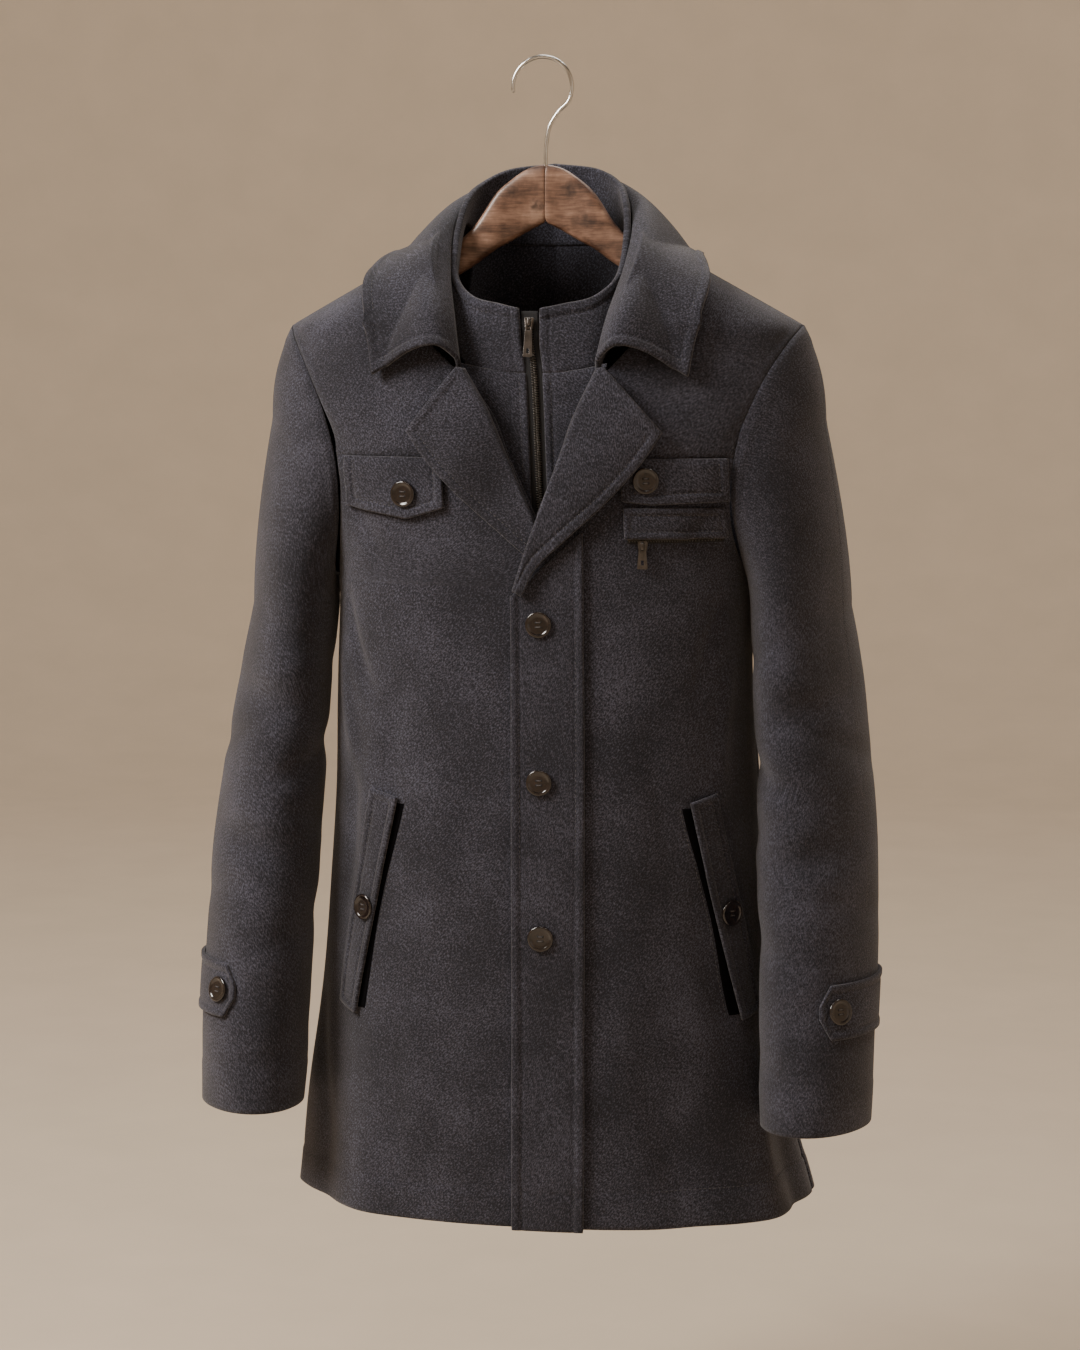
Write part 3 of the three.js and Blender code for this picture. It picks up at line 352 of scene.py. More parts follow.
def quadsOf(rows, columns, start=0, tube=False, flip=False):
    # Faces of a grid of points, wound so that they face its normal
    index = start + np.arange(rows * columns).reshape(rows, columns)
    if tube:
        index = np.concatenate([index, index[:, :1]], 1)
    a, b, c, d = index[:-1, :-1], index[1:, :-1], index[1:, 1:], index[:-1, 1:]
    faces = np.stack([a, b, c, d], -1).reshape(-1, 4)
    return faces[:, ::-1] if flip else faces


def rimLoops(rows, columns, tube):
    # Closed loops of point numbers round the open edges
    index = np.arange(rows * columns).reshape(rows, columns)
    if tube:
        return [index[0], index[-1][::-1]]
    return [np.concatenate([index[0, :-1], index[:-1, -1], index[-1, :0:-1], index[:0:-1, 0]])]


def shell(name, grid, wall, raised=None, tube=False, inner=None):
    # Closed cloth: outer grid raised along its normals, inner grid a wall below it, round rim between them
    normals = gridNormals(grid, tube)
    under = grid - normals * wall if inner is None else inner
    outer = grid if raised is None else grid + normals * raised[..., None]
    rows, columns = grid.shape[:2]
    count = rows * columns
    points = [outer.reshape(-1, 3), under.reshape(-1, 3)]
    faces = [quadsOf(rows, columns, 0, tube), quadsOf(rows, columns, count, tube, flip=True)]
    flat = np.stack([runLengths(grid, 1), -runLengths(grid, 0)], -1).reshape(-1, 2)
    uv = [flat, flat]
    start = 2 * count
    # The rim bulges away from the grid point next to it
    inside = np.clip(np.arange(rows), 1, rows - 2)[:, None] * columns
    inside = inside + (np.arange(columns) if tube else np.clip(np.arange(columns), 1, columns - 2))[None]
    inside = inside.reshape(-1)
    for loop in rimLoops(rows, columns, tube):
        upper, lower = points[0][loop], points[1][loop]
        points.append((upper + lower) / 2 + unit(upper - points[0][inside[loop]]) * wall * rimBulge)
        uv.append(flat[loop])
        number = start + np.arange(len(loop))
        nextUp, nextMid = np.roll(loop, -1), np.roll(number, -1)
        faces.append(np.stack([loop, nextUp, nextMid, number], -1))
        faces.append(np.stack([number, nextMid, nextUp + count, loop + count], -1))
        start += len(loop)
    return makeMesh(name, np.concatenate(points), np.concatenate(faces), np.concatenate(uv))


def areaOf(grid):
    # Half the cross product of the diagonals of each cell, summed
    a = grid[1:, 1:] - grid[:-1, :-1]
    b = grid[1:, :-1] - grid[:-1, 1:]
    return float(np.linalg.norm(np.cross(a, b), axis=-1).sum() / 2) * scale ** 2


def uvGrid(piece):
    # Shares across and down a grid
    return np.meshgrid(np.linspace(0, 1, piece["columns"] + 1), np.linspace(0, 1, piece["rows"] + 1))


def patchGrid(piece, placeAt):
    # A piece lying on the coat: placeAt gives angle, drop and stand-off, the grid is its upper face
    angle, drop, lift = placeAt(*uvGrid(piece))
    return clothPoint(angle, drop, lift + clothWall)


def seamRoll(grid, sides, depth=1.1, width=3.2):
    # Cloth turns down into a seam: -depth exp(-(distance / width)^2)
    return -depth * np.exp(-(nearestEdge(grid, sides) / width) ** 2)


def sewnLine(grid, side, margin, groove=0.8):
    # Narrow groove at a distance from one edge
    return -groove * np.exp(-((edgeDistances(grid)[side] - margin) / lineWidth) ** 2)


def addCloth(name, grid, raised, piece, material, restsOn, wall=clothWall, held="hung", node=None,
             slotName="wool_cloth", **form):
    # Shell of one sheet with its material, body and CAD node; the slot name and the piece's flat cut are not used
    obj = shell(name, grid, wall, raised, **form)
    obj.data.materials.append(material)
    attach(obj, "coat")
    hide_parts(node or name.replace(" ", "_"))
    print(name, round(areaOf(grid), 4))


def nodeRgb(red, green, blue):
    # Colour with full cover
    return (red, green, blue, 1.0)


def newMaterial(name, looks):
    # Empty node material whose main shader's inputs are set by name
    material = bpy.data.materials.new(name)
    material.use_nodes = True
    shader = material.node_tree.nodes["Principled BSDF"]
    for key, value in looks.items():
        shader.inputs[key].default_value = value
    return material, material.node_tree, shader


def addNode(tree, kind, source=None, into="Vector", **values):
    # Node with inputs set by name and one of them joined to a source
    node = tree.nodes.new(kind)
    for key, value in values.items():
        node.inputs[key.replace("_", " ")].default_value = value
    if source is not None:
        tree.links.new(source, node.inputs[into])
    return node


def multiplyAdd(tree, first, factor, last):
    # first x factor + last, where last is an output or a number
    node = tree.nodes.new("ShaderNodeMath")
    node.operation = "MULTIPLY_ADD"
    tree.links.new(first, node.inputs[0])
    node.inputs[1].default_value = factor
    if isinstance(last, float):
        node.inputs[2].default_value = last
    else:
        tree.links.new(last, node.inputs[2])
    return node.outputs[0]


def rampOf(tree, source, stops):
    # Colour ramp with (position, colour) stops
    ramp = addNode(tree, "ShaderNodeValToRGB", source, "Fac")
    elements = ramp.color_ramp.elements
    elements[0].position, elements[0].color = stops[0]
    elements[1].position, elements[1].color = stops[-1]
    for position, colour in stops[1:-1]:
        elements.new(position).color = colour
    return ramp.outputs["Color"]


def finishSurface(tree, shader, colour, height, strength, distance):
    # Join a colour and the bump of a height to the main shader
    bump = addNode(tree, "ShaderNodeBump", height, "Height", Strength=strength, Distance=distance)
    tree.links.new(colour, shader.inputs["Base Color"])
    tree.links.new(bump.outputs["Normal"], shader.inputs["Normal"])


woolLooks = {
    "Roughness": 0.93, "Specular IOR Level": 0.18, "Sheen Weight": 0.2, "Sheen Roughness": 0.55,
    "Sheen Tint": nodeRgb(0.85, 0.82, 0.82),
}
woolDark, woolLight = (0.0155, 0.0155, 0.0218), (0.079, 0.0785, 0.108)


def wool(name, turn):
    # Melange twill: diagonal ribs broken by noise, light and dark fibres, a raised nap and a soft sheen
    material, tree, shader = newMaterial(name, woolLooks)
    place = tree.nodes.new("ShaderNodeTexCoord").outputs
    turned = addNode(tree, "ShaderNodeMapping", place["UV"], Rotation=(0, 0, math.radians(turn)))
    streak = addNode(tree, "ShaderNodeMapping", turned.outputs["Vector"], Scale=(1.0, 0.5, 1.0))
    rib = addNode(tree, "ShaderNodeTexWave", turned.outputs["Vector"], Scale=126.0, Distortion=8.0, Detail=4.0,
                  Detail_Scale=4.5).outputs["Fac"]
    fibre = addNode(tree, "ShaderNodeTexNoise", streak.outputs["Vector"], Scale=900.0, Detail=3.0, Roughness=0.65)
    fleck = addNode(tree, "ShaderNodeTexNoise", place["Object"], Scale=560.0, Detail=4.0, Roughness=0.7)
    patch = addNode(tree, "ShaderNodeTexNoise", place["Object"], Scale=16.0, Detail=3.0, Roughness=0.55)
    nap = multiplyAdd(tree, rib, 0.1, fibre.outputs["Fac"])
    nap = multiplyAdd(tree, fleck.outputs["Fac"], 0.8, nap)
    tone = multiplyAdd(tree, patch.outputs["Fac"], 0.35, nap)
    spread = addNode(tree, "ShaderNodeMapRange", tone, "Value", From_Min=0.82, From_Max=1.36)
    colour = rampOf(tree, spread.outputs["Result"], [
        (0.0, nodeRgb(*(c * 0.55 for c in woolDark))), (0.5, nodeRgb(*woolDark)), (1.0, nodeRgb(*woolLight)),
    ])
    finishSurface(tree, shader, colour, multiplyAdd(tree, rib, 0.2, nap), 0.55, 0.0006)
    return material


def plain(name, colour, rough, metal=0.0, grain=300.0, depth=0.0002, spread=0.25, looks={}):
    # One colour, uneven by noise in tone and surface
    material, tree, shader = newMaterial(name, {"Roughness": rough, "Metallic": metal, **looks})
    place = tree.nodes.new("ShaderNodeTexCoord").outputs["Object"]
    noise = addNode(tree, "ShaderNodeTexNoise", place, Scale=grain, Detail=4.0, Roughness=0.6).outputs["Fac"]
    tone = rampOf(tree, noise, [
        (0.3, nodeRgb(*(c * (1 - spread) for c in colour))), (0.7, nodeRgb(*(c * (1 + spread) for c in colour))),
    ])
    finishSurface(tree, shader, tone, noise, 0.4, depth)
    return material


# Colours of the grain, and the knots: x, z and radius in metres
woodPiece = {
    "grain": [
        (0.0, nodeRgb(0.05, 0.023, 0.015)), (0.4, nodeRgb(0.155, 0.08, 0.05)),
        (0.72, nodeRgb(0.25, 0.142, 0.096)), (1.0, nodeRgb(0.35, 0.22, 0.155)),
    ],
    "knots": [(0.038, -0.107, 0.009), (0.05, -0.133, 0.0085), (0.008, -0.121, 0.007), (-0.016, -0.11, 0.006)],
    "knotColour": nodeRgb(0.022, 0.009, 0.006), "knotCover": 0.8,
    "looks": {"Roughness": 0.46, "Coat Weight": 0.35, "Coat Roughness": 0.22},
}


def walnut(name):
    # Long wavy grain along X, fine pores, stains, and dark knots near the middle of the hanger
    material, tree, shader = newMaterial(name, woodPiece["looks"])
    place = tree.nodes.new("ShaderNodeTexCoord").outputs["Object"]
    long = addNode(tree, "ShaderNodeMapping", place, Scale=(0.35, 1.6, 1.0))
    thin = addNode(tree, "ShaderNodeMapping", place, Scale=(0.08, 1.0, 1.0))
    rings = addNode(tree, "ShaderNodeTexWave", long.outputs["Vector"], Scale=13.0, Distortion=7.0, Detail=4.0,
                    Detail_Scale=1.8)
    rings.bands_direction = "Z"
    blotch = addNode(tree, "ShaderNodeTexNoise", place, Scale=62.0, Detail=4.0, Roughness=0.6)
    pores = addNode(tree, "ShaderNodeTexNoise", thin.outputs["Vector"], Scale=620.0, Detail=3.0).outputs["Fac"]
    stain = multiplyAdd(tree, blotch.outputs["Fac"], 0.6, 0.0)
    tone = multiplyAdd(tree, pores, 0.45, multiplyAdd(tree, rings.outputs["Fac"], 0.22, stain))
    spread = addNode(tree, "ShaderNodeMapRange", tone, "Value", From_Min=0.41, From_Max=0.88)
    last = rampOf(tree, spread.outputs["Result"], woodPiece["grain"])
    # Noise bends the place that the distance to each knot is taken from
    swirl = addNode(tree, "ShaderNodeTexNoise", place, Scale=120.0, Detail=3.0)
    bent = addNode(tree, "ShaderNodeVectorMath", swirl.outputs["Color"], 0)
    bent.operation = "MULTIPLY_ADD"
    bent.inputs[1].default_value = (0.028, 0.0, 0.012)
    tree.links.new(place, bent.inputs[2])
    for x, z, size in woodPiece["knots"]:
        away = addNode(tree, "ShaderNodeVectorMath", bent.outputs["Vector"], 0)
        away.operation = "DISTANCE"
        away.inputs[1].default_value = (x, -0.007, z)
        near = addNode(tree, "ShaderNodeMapRange", away.outputs["Value"], "Value", From_Min=size,
                       From_Max=size * 0.1, To_Max=woodPiece["knotCover"])
        blend = tree.nodes.new("ShaderNodeMix")
        blend.data_type = "RGBA"
        tree.links.new(near.outputs["Result"], blend.inputs["Factor"])
        tree.links.new(last, blend.inputs[6])
        blend.inputs[7].default_value = woodPiece["knotColour"]
        last = blend.outputs[2]
    finishSurface(tree, shader, last, pores, 0.25, 0.0003)
    return material


charcoal = wool("charcoal wool", 38)
charcoalCross = wool("charcoal wool, collar and trim", -46)
print("materials ready")


# Front panels and yokes, all hung from the hanger
hangerArms = ("hanger_right", "hanger_left")
frontPiece = {"rows": 170, "columns": 60, "flat": (0.31, 0.70), "area": 0.175, "placketTop": 462.0, "behind": -18.0}
yokePiece = {"rows": 62, "columns": 44, "rounding": 60, "flat": (0.24, 0.20), "area": 0.0275}
hemPiece = {"sewn": 33.0, "ridge": 0.5, "low": 30, "high": 34}


def frontEdge(drop, side):
    # Turn line above the placket, a straight butt edge behind it
    turned = np.where(drop > frontPiece["placketTop"], frontPiece["behind"], curveAt(turnLine, 1, drop))
    return np.maximum(turned, -turned + 2 * seamGap) if side > 0 else turned


def panelGrid(start, end, piece):
    # Share across and drop at each point of a body panel
    return np.meshgrid(np.linspace(0, 1, piece["columns"] + 1), spacedDrops(start, end, piece["rows"]))


def frontGrid(side, start, end, piece):
    # Angle runs from the inner edge to the side seam, or to the armhole
    u, drop = panelGrid(start, end, piece)
    inner = angleAt(side * frontEdge(drop, side), drop)
    outer = side * outerAngle(drop, True)
    angle = mix(inner, outer, u) if side > 0 else mix(outer, inner, u)
    return bodyPoint(angle, drop)


def hemRaised(grid):
    # Turned-up hem: a groove where it is sewn and a slight ridge below it
    ridge = hemPiece["ridge"] * (1 - smoothStep(edgeDistances(grid)["bottom"], hemPiece["low"], hemPiece["high"]))
    return sewnLine(grid, "bottom", hemPiece["sewn"]) + ridge


for side, hand in hands:
    seamSide = "right" if side > 0 else "left"
    grid = frontGrid(side, yokeSeamDrop + seamGap, hemDrop, frontPiece)
    raised = seamRoll(grid, ["top", seamSide]) + hemRaised(grid)
    addCloth(f"front {hand}", grid, raised, frontPiece, charcoal, hangerArms)
    sewMargin(grid, ["bottom"], hemPiece["sewn"])
    grid = frontGrid(side, panelTopDrop, yokeSeamDrop - seamGap, yokePiece)
    grid = roundedShoulder(grid, np.linspace(0, 1, grid.shape[1])[None, ::side], yokePiece["rounding"])
    raised = seamRoll(grid, ["bottom", "top", seamSide], 0.8) + sewnLine(grid, "bottom", stitchMargin, 0.6)
    addCloth(f"front yoke {hand}", grid, raised, yokePiece, charcoal, hangerArms)
    sewMargin(grid, ["bottom"])


# Back
backPiece = {"rows": 200, "columns": 110, "rounding": 30, "flat": (0.60, 0.87), "area": 0.404}
u, drop = panelGrid(panelTopDrop, hemDrop, backPiece)
grid = bodyPoint(math.pi + outerAngle(drop, False) * (2 * u - 1), drop)
grid = roundedShoulder(grid, np.abs(2 * u - 1), backPiece["rounding"])
raised = seamRoll(grid, ["left", "right", "top"], 0.9) + hemRaised(grid)
addCloth("back", grid, raised, backPiece, charcoal, hangerArms)
sewMargin(grid, ["bottom"], hemPiece["sewn"])


# Sleeves: centre, half widths and turn of the hanging ring, then breaks at the elbow
sleevePiece = {
    "capRows": 40, "hangRows": 110, "capSpan": 6, "hangSpan": 10, "round": 96, "ease": 1.7, "head": 5, "under": 3,
    "dip": 0.9, "dipAt": 2.6, "dipWidth": 2.2, "swellAt": 11, "swellWidth": 6, "cuffSewn": 36.0, "cuffRidge": 0.5,
    "flat": (0.43, 0.68), "area": 0.23,
}
sleeveSections = np.array([
    [455, 226, 4, 37, 84, 12], [560, 238, -6, 43, 80, 18], [660, 246, -20, 47, 75, 20],
    [760, 250, -36, 49, 70, 20], [860, 251, -52, 48, 65, 19], [926, 251, -60, 45.5, 61, 18.0],
])
sleeveShift = {-1: -8.0, 1: -1.0}
# Drop, half height, depth, the side they face, slant per radian
sleeveCreases = np.array([
    [560, 16, -4.0, 60, 10], [622, 15, -5.0, 110, -16], [690, 17, -4.0, 70, 14], [770, 18, -3.0, 120, -10],
    [515, 12, -2.4, 120, 20], [590, 10, -2.4, 30, -22], [655, 11, -2.6, 95, 20], [725, 12, -2.2, 40, -18],
    [535, 12, 1.8, 80, -12], [640, 12, 2.0, 60, 14], [705, 12, 1.8, 100, -12], [820, 20, -2.0, 70, 16],
    [870, 18, -1.6, 130, -14], [610, 14, -2.6, 200, 14], [680, 14, -2.6, 240, -14], [760, 16, -2.0, 210, 12],
    [540, 14, -2.4, 250, -12.0],
])


def sleeveRing(t, drop):
    # Ellipse (half cos t, deep sin t) turned about Z, its radius changed by the creases
    half, deep = curveAt(sleeveSections, 3, drop), curveAt(sleeveSections, 4, drop)
    turn = np.radians(curveAt(sleeveSections, 5, drop))
    bulge = np.zeros(np.broadcast(t, drop).shape)
    for at, spread, depth, face, slant in sleeveCreases:
        away = (t - math.radians(face) + math.pi) % (2 * math.pi) - math.pi
        level = drop - at - slant * away
        bulge += depth * np.clip(np.cos(away), 0, 1) ** 1.4 * np.exp(-(level / spread) ** 2)
    bulge += 0.5 * np.sin(drop / 33 + 2 * t) + 0.4 * np.sin(drop / 21 - 3 * t)
    out, ahead = (half + bulge) * np.cos(t), (deep + bulge) * np.sin(t)
    across = curveAt(sleeveSections, 1, drop) + out * np.cos(turn) - ahead * np.sin(turn)
    return across, curveAt(sleeveSections, 2, drop) - out * np.sin(turn) - ahead * np.cos(turn)


def swingAt(side, drop):
    # Sideways swing of a sleeve, growing evenly from its head to the cuff
    return sleeveShift[side] * (drop - headDrop) / (cuffDrop - headDrop)


def sleeveGrid(side):
    # From the armhole loop to the hanging rings: blend 1 - (1 - cap)^ease, with a full sleeve head
    capSpan, hangSpan, count = sleevePiece["capSpan"], sleevePiece["hangSpan"], sleevePiece["round"]
    below = np.linspace(0, hangSpan, sleevePiece["hangRows"] + 1)[1:]
    row = np.concatenate([np.linspace(0, capSpan, sleevePiece["capRows"] + 1), capSpan + below])
    turns, rows = np.meshgrid(-side * 2 * math.pi * np.arange(count) / count, row)
    cap = np.minimum(rows / capSpan, 1)
    drop = mix(headDrop, cuffDrop, np.maximum((rows - capSpan) / hangSpan, 0))
    ease = 1 - (1 - cap) ** sleevePiece["ease"]
    startX, startY, startDrop = armholePoint(turns)
    ringX, ringY = sleeveRing(turns, drop)
    head = sleevePiece["head"] * np.sin(math.pi * np.minimum(cap * 3, 1)) * np.maximum(np.cos(turns), 0)
    under = sleevePiece["under"] * np.maximum(-np.cos(turns), 0)
    x = side * (mix(startX + seamGap + under, ringX, ease) + head) + swingAt(side, drop)
    return np.stack([x, mix(startY, ringY, ease), -mix(startDrop, drop, cap)], -1)


def sleeveSurface(side, t, drop, lift):
    # Point of the hanging sleeve moved out along its normal, and the normal
    def at(angle, low):
        # Point of the ring at this drop
        across, along = sleeveRing(angle, low)
        return np.stack(np.broadcast_arrays(side * across + swingAt(side, low), along, -low), -1)
    t, drop = np.broadcast_arrays(np.asarray(t, float), np.asarray(drop, float))
    around = at(t + 0.05, drop) - at(t - 0.05, drop)
    normal = side * unit(np.cross(around, at(t, drop + 3) - at(t, drop - 3)))
    return at(t, drop) + normal * np.asarray(lift)[..., None], normal


for side, hand in hands:
    grid = sleeveGrid(side)
    down = runLengths(grid, 0)
    up = down[-1:] - down
    # A dip at the armhole seam, a swell beside it, and the turned-up cuff
    dip = np.exp(-((down - sleevePiece["dipAt"]) / sleevePiece["dipWidth"]) ** 2)
    swell = np.exp(-((down - sleevePiece["swellAt"]) / sleevePiece["swellWidth"]) ** 2)
    cuff = 1 - smoothStep(up, sleevePiece["cuffSewn"] - 3, sleevePiece["cuffSewn"] + 1)
    raised = sleevePiece["dip"] * (swell - dip) + sleevePiece["cuffRidge"] * cuff
    raised[0] = 0
    inner = grid - gridNormals(grid, True) * clothWall
    middle = np.stack([grid[0, :, 0], np.zeros(grid.shape[1]), np.full(grid.shape[1], -armholeDrop)], -1)
    inner[0] = grid[0] + unit(middle - grid[0]) * clothWall
    addCloth(f"sleeve {hand}", grid, raised, sleevePiece, charcoal, (f"front_yoke_{hand}", "back"), tube=True,
             inner=inner)


# Placket with a sewn margin down both edges
placketPiece = {
    "rows": 200, "columns": 36, "inner": 23.0, "outer": 39.0, "top": 462.0, "rise": 56.0, "below": 2,
    "flat": (0.064, 0.62), "area": 0.0365,
}


def placketPlace(u, v):
    # Straight strip between two offsets from the centre line, its top running up under the lapel
    drop = mix(placketPiece["top"] - placketPiece["rise"] * u, hemDrop + placketPiece["below"], v)
    offset = mix(-placketPiece["inner"], placketPiece["outer"], u)
    ripple = 0.5 * np.sin(drop / 37) * np.sin(math.pi * u)
    return angleAt(offset, drop), drop, overlayLift + ripple


grid = patchGrid(placketPiece, placketPlace)
raised = sewnMargin(grid, ["left", "right"], ridge=1.2) + sewnLine(grid, "bottom", hemPiece["sewn"])
addCloth("placket", grid, raised, placketPiece, charcoal, ("front_left", "front_right"))
sewMargin(grid, ["left", "right"], start=2, end=2)


# Lapels: down, turn offset and drop, edge offset and drop, lift at the turn and at the edge
lapelPiece = {
    "rows": 70, "columns": 60, "seat": 0.4, "crossing": 6.2, "swell": 3.0, "under": 0.8, "roll": 0.3, "lowRadius": 2.9,
    "lowEdge": {-1: 4.4, 1: 11}, "flat": (0.085, 0.21), "area": 0.0102,
}
lapelRows = np.array([
    [0, 56, 268, 108, 322, 13, 9], [0.22, 38, 302, 88, 350, 13, 9], [0.45, 22, 342, 57, 383, 12, 8.5],
    [0.68, 4, 388, 25, 412, 10, 7.5], [0.86, -10, 424, 0, 436, 8, 6.5], [1, -21, 456, -13, 460, 6, 5.0],
])


def lapelPoint(side, across, down):
    # Half circle round the roll, then out to the edge with a sine swell
    at = down if side > 0 else down * lapelPiece["under"]
    turnX, turnDrop, edgeX, edgeDrop, turnLift, edgeLift = (curveAt(lapelRows, k, at) for k in range(1, 7))
    low = smoothStep(down, 0.35, 0.7)
    base = lapelPiece["seat"] + (lapelPiece["crossing"] * low if side > 0 else 0)
    radius = mix(turnLift / 2, lapelPiece["lowRadius"], low)
    turn = math.pi * np.clip(across / lapelPiece["roll"], 0, 1)
    out = np.clip((across - lapelPiece["roll"]) / (1 - lapelPiece["roll"]), 0, 1)
    rolled = across < lapelPiece["roll"]
    offset = np.where(rolled, turnX + radius * (1 - np.sin(turn)), mix(turnX + radius, edgeX, out))
    drop = np.where(rolled, turnDrop, mix(turnDrop, edgeDrop, out))
    edge = mix(edgeLift + clothWall, lapelPiece["lowEdge"][side], low)
    flatLift = mix(base + 2 * radius, edge, out) + lapelPiece["swell"] * np.sin(math.pi * out) * (1 - low)
    lift = np.where(rolled, base + radius * (1 - np.cos(turn)), flatLift)
    return frontPoint(side * offset, drop, lift)


for side, hand in hands:
    u, v = uvGrid(lapelPiece)
    u = u if side > 0 else 1 - u
    grid = lapelPoint(side, u, v)
    edge = "right" if side > 0 else "left"
    raised = sewnMargin(grid, [edge, "top"], ridge=0.9) * smoothStep(u, 0.3, 0.42)
    addCloth(f"lapel {hand}", grid, raised, lapelPiece, charcoalCross, (f"front_yoke_{hand}",), held="folded")
    sewMargin(grid, [edge], start=stitchMargin, end=6)


# Fold-down collar: at, then x, y, drop of its seam, roll, shoulder, middle and edge
collarPiece = {
    "rows": 60, "columns": 200, "leaf": 0.4, "edgeLift": 3, "wave": 0.8, "waves": 21, "flat": (0.62, 0.165),
    "area": 0.073,
}
collarStations = np.array([
    [0.0, 58, -97, 267, 60, -106, 257, 77, -115, 246, 104, -108, 252, 136, -93, 273],
    [0.2, 66, -83, 240, 66.5, -89, 222, 86, -102, 214, 113, -92, 228, 138, -78, 247],
    [0.4, 77, -55, 200, 77, -51, 178, 95, -62, 174, 117, -56, 193, 138, -46, 214],
    [0.55, 81, -20, 160, 79.5, -18, 145, 94, -22, 144, 116, -20, 162, 136, -12, 180],
    [0.7, 75.5, 20, 143, 71.5, 22, 121, 86, 28, 121, 108, 34, 144, 128, 40, 176],
    [0.85, 53, 58, 144, 47, 55, 104, 55, 69, 107, 66, 88, 140, 78, 97, 184],
    [1.0, 0, 73, 144, 0, 68, 98, 0, 83, 103, 0, 104, 140, 0, 114, 190],
])


def mirrored(stations, at):
    # Values of a half ring at shares of the whole ring, x changing sign past the middle of the back
    near = np.where(at < 0.5, 1.0, -1.0)
    along = np.where(at < 0.5, at * 2, 2 - at * 2)
    values = np.stack([curveAt(stations, k, along) for k in range(1, stations.shape[1])], -1)
    values[..., 0::3] *= near[..., None]
    values[..., 2::3] *= -1
    return values.reshape(*at.shape, -1, 3)


def splineThrough(points, share):
    # Curve through the five points of each station, as a Hermite curve with central slopes
    last = points.shape[-2] - 1
    place = share * last
    i = np.clip(place.astype(int), 0, last - 1)
    t = (place - i)[..., None]
    before, here, there, after = (
        np.take_along_axis(points, np.clip(i + k, 0, last)[..., None, None], -2)[..., 0, :] for k in (-1, 0, 1, 2)
    )
    slopeHere, slopeThere = (there - before) / 2, (after - here) / 2
    rise = t * t * (3 - 2 * t)
    return here * (1 - rise) + there * rise + slopeHere * t * (1 - t) ** 2 + slopeThere * t * t * (t - 1)


def outsideness(point):
    # |x / half|^p + |y / depth|^p - 1: zero on the coat's rings
    drop = -point[..., 2]
    isFront = point[..., 1] < 0
    power = curveAt(bodySections, 5, drop)
    depth = np.where(isFront, curveAt(bodySections, 1, drop), curveAt(bodySections, 2, drop))
    wide = halfWidth(drop, isFront)
    return np.abs(point[..., 0] / wide) ** power + np.abs(point[..., 1] / depth) ** power - 1


pushPiece = {"top": 125, "full": 150, "rounds": 6, "step": 0.5}


def pushOut(point, clearance):
    # Points nearer than the clearance to the shoulders move up the gradient of the outsideness
    needed = clearance * smoothStep(-point[..., 2], pushPiece["top"], pushPiece["full"])
    step = pushPiece["step"]
    for _ in range(pushPiece["rounds"]):
        here = outsideness(point)
        way = np.stack([(outsideness(point + step * np.eye(3)[k]) - here) / step for k in range(3)], -1)
        size = np.linalg.norm(way, axis=-1)
        push = np.maximum(needed - here / size, 0)
        point = point + way / size[..., None] * push[..., None]
    return point


u, v = uvGrid(collarPiece)
grid = splineThrough(mirrored(collarStations, u), v)
# Only the leaf is pushed clear of the shoulders, and a little more at its edge
isLeaf = v > collarPiece["leaf"]
clearance = doubledWall + overlayLift + collarPiece["edgeLift"] * smoothStep(v, 0.65, 1)
grid = np.where(isLeaf[..., None], pushOut(grid, np.where(isLeaf, clearance, -99)), grid)
# The leaf waves a little between the back and its points
grid[..., 2] += collarPiece["wave"] * np.sin(u * collarPiece["waves"]) * smoothStep(v, 0.5, 1)
raised = sewnMargin(grid, ["bottom", "left", "right"], ridge=1.1, groove=1.0) * smoothStep(v, 0.3, 0.45)
addCloth("collar", grid, raised, collarPiece, charcoalCross, ("back", "front_yoke_left", "front_yoke_right"),
         wall=doubledWall, held="folded")
sewMargin(grid, ["bottom"], start=6, end=6)
sewMargin(grid, ["left", "right"], start=75, end=stitchMargin)


# Standing insert collar: at, then x, y, drop of its rim and base
standPiece = {
    "rows": 34, "columns": 180, "rimSewn": 9.0, "endSewn": 7.0, "swell": 1.2, "flat": (0.46, 0.085), "area": 0.022,
}
standStations = np.array([
    [0.0, 10, -80, 217, 8, -91, 270], [0.14, 28, -77, 213, 30, -90, 269], [0.28, 54, -69, 206, 58, -82, 263],
    [0.4, 73, -51, 186, 72.5, -61, 238], [0.52, 76.5, -26, 154, 77, -31, 190], [0.64, 72, 0, 122, 75, -2, 143],
    [0.76, 62, 26, 106, 68, 28, 150], [0.88, 40, 47, 94, 44, 51, 158], [1.0, 0, 56, 89, 0, 61, 160.0],
])
# drop, across, front of the zip's middle
zipLine = np.array([
    [217, -2, -79], [245, 0, -85], [270, 4, -91], [330, 8, -98], [388, 11, -103], [440, 12, -106.0],
])
u, v = uvGrid(standPiece)
ends = mirrored(standStations, u)
grid = mix(ends[..., 0, :], ends[..., 1, :], v[..., None])
grid[..., 0] += curveAt(zipLine, 1, -grid[..., 2]) * np.abs(2 * u - 1) ** 6
raised = sewnMargin(grid, ["top"], standPiece["rimSewn"], ridge=1.3, groove=1.3)
raised += sewnMargin(grid, ["left", "right"], standPiece["endSewn"], groove=0.7)
raised += standPiece["swell"] * np.sin(math.pi * v) ** 2 + seamRoll(grid, ["bottom"], 0.9)
addCloth("insert stand", grid, raised, standPiece, charcoalCross, ("bib_left", "bib_right"), wall=doubledWall)
sewMargin(grid, ["top"], standPiece["rimSewn"], start=7, end=7)
sewMargin(grid, ["left", "right"], standPiece["endSewn"], start=standPiece["rimSewn"], end=2)
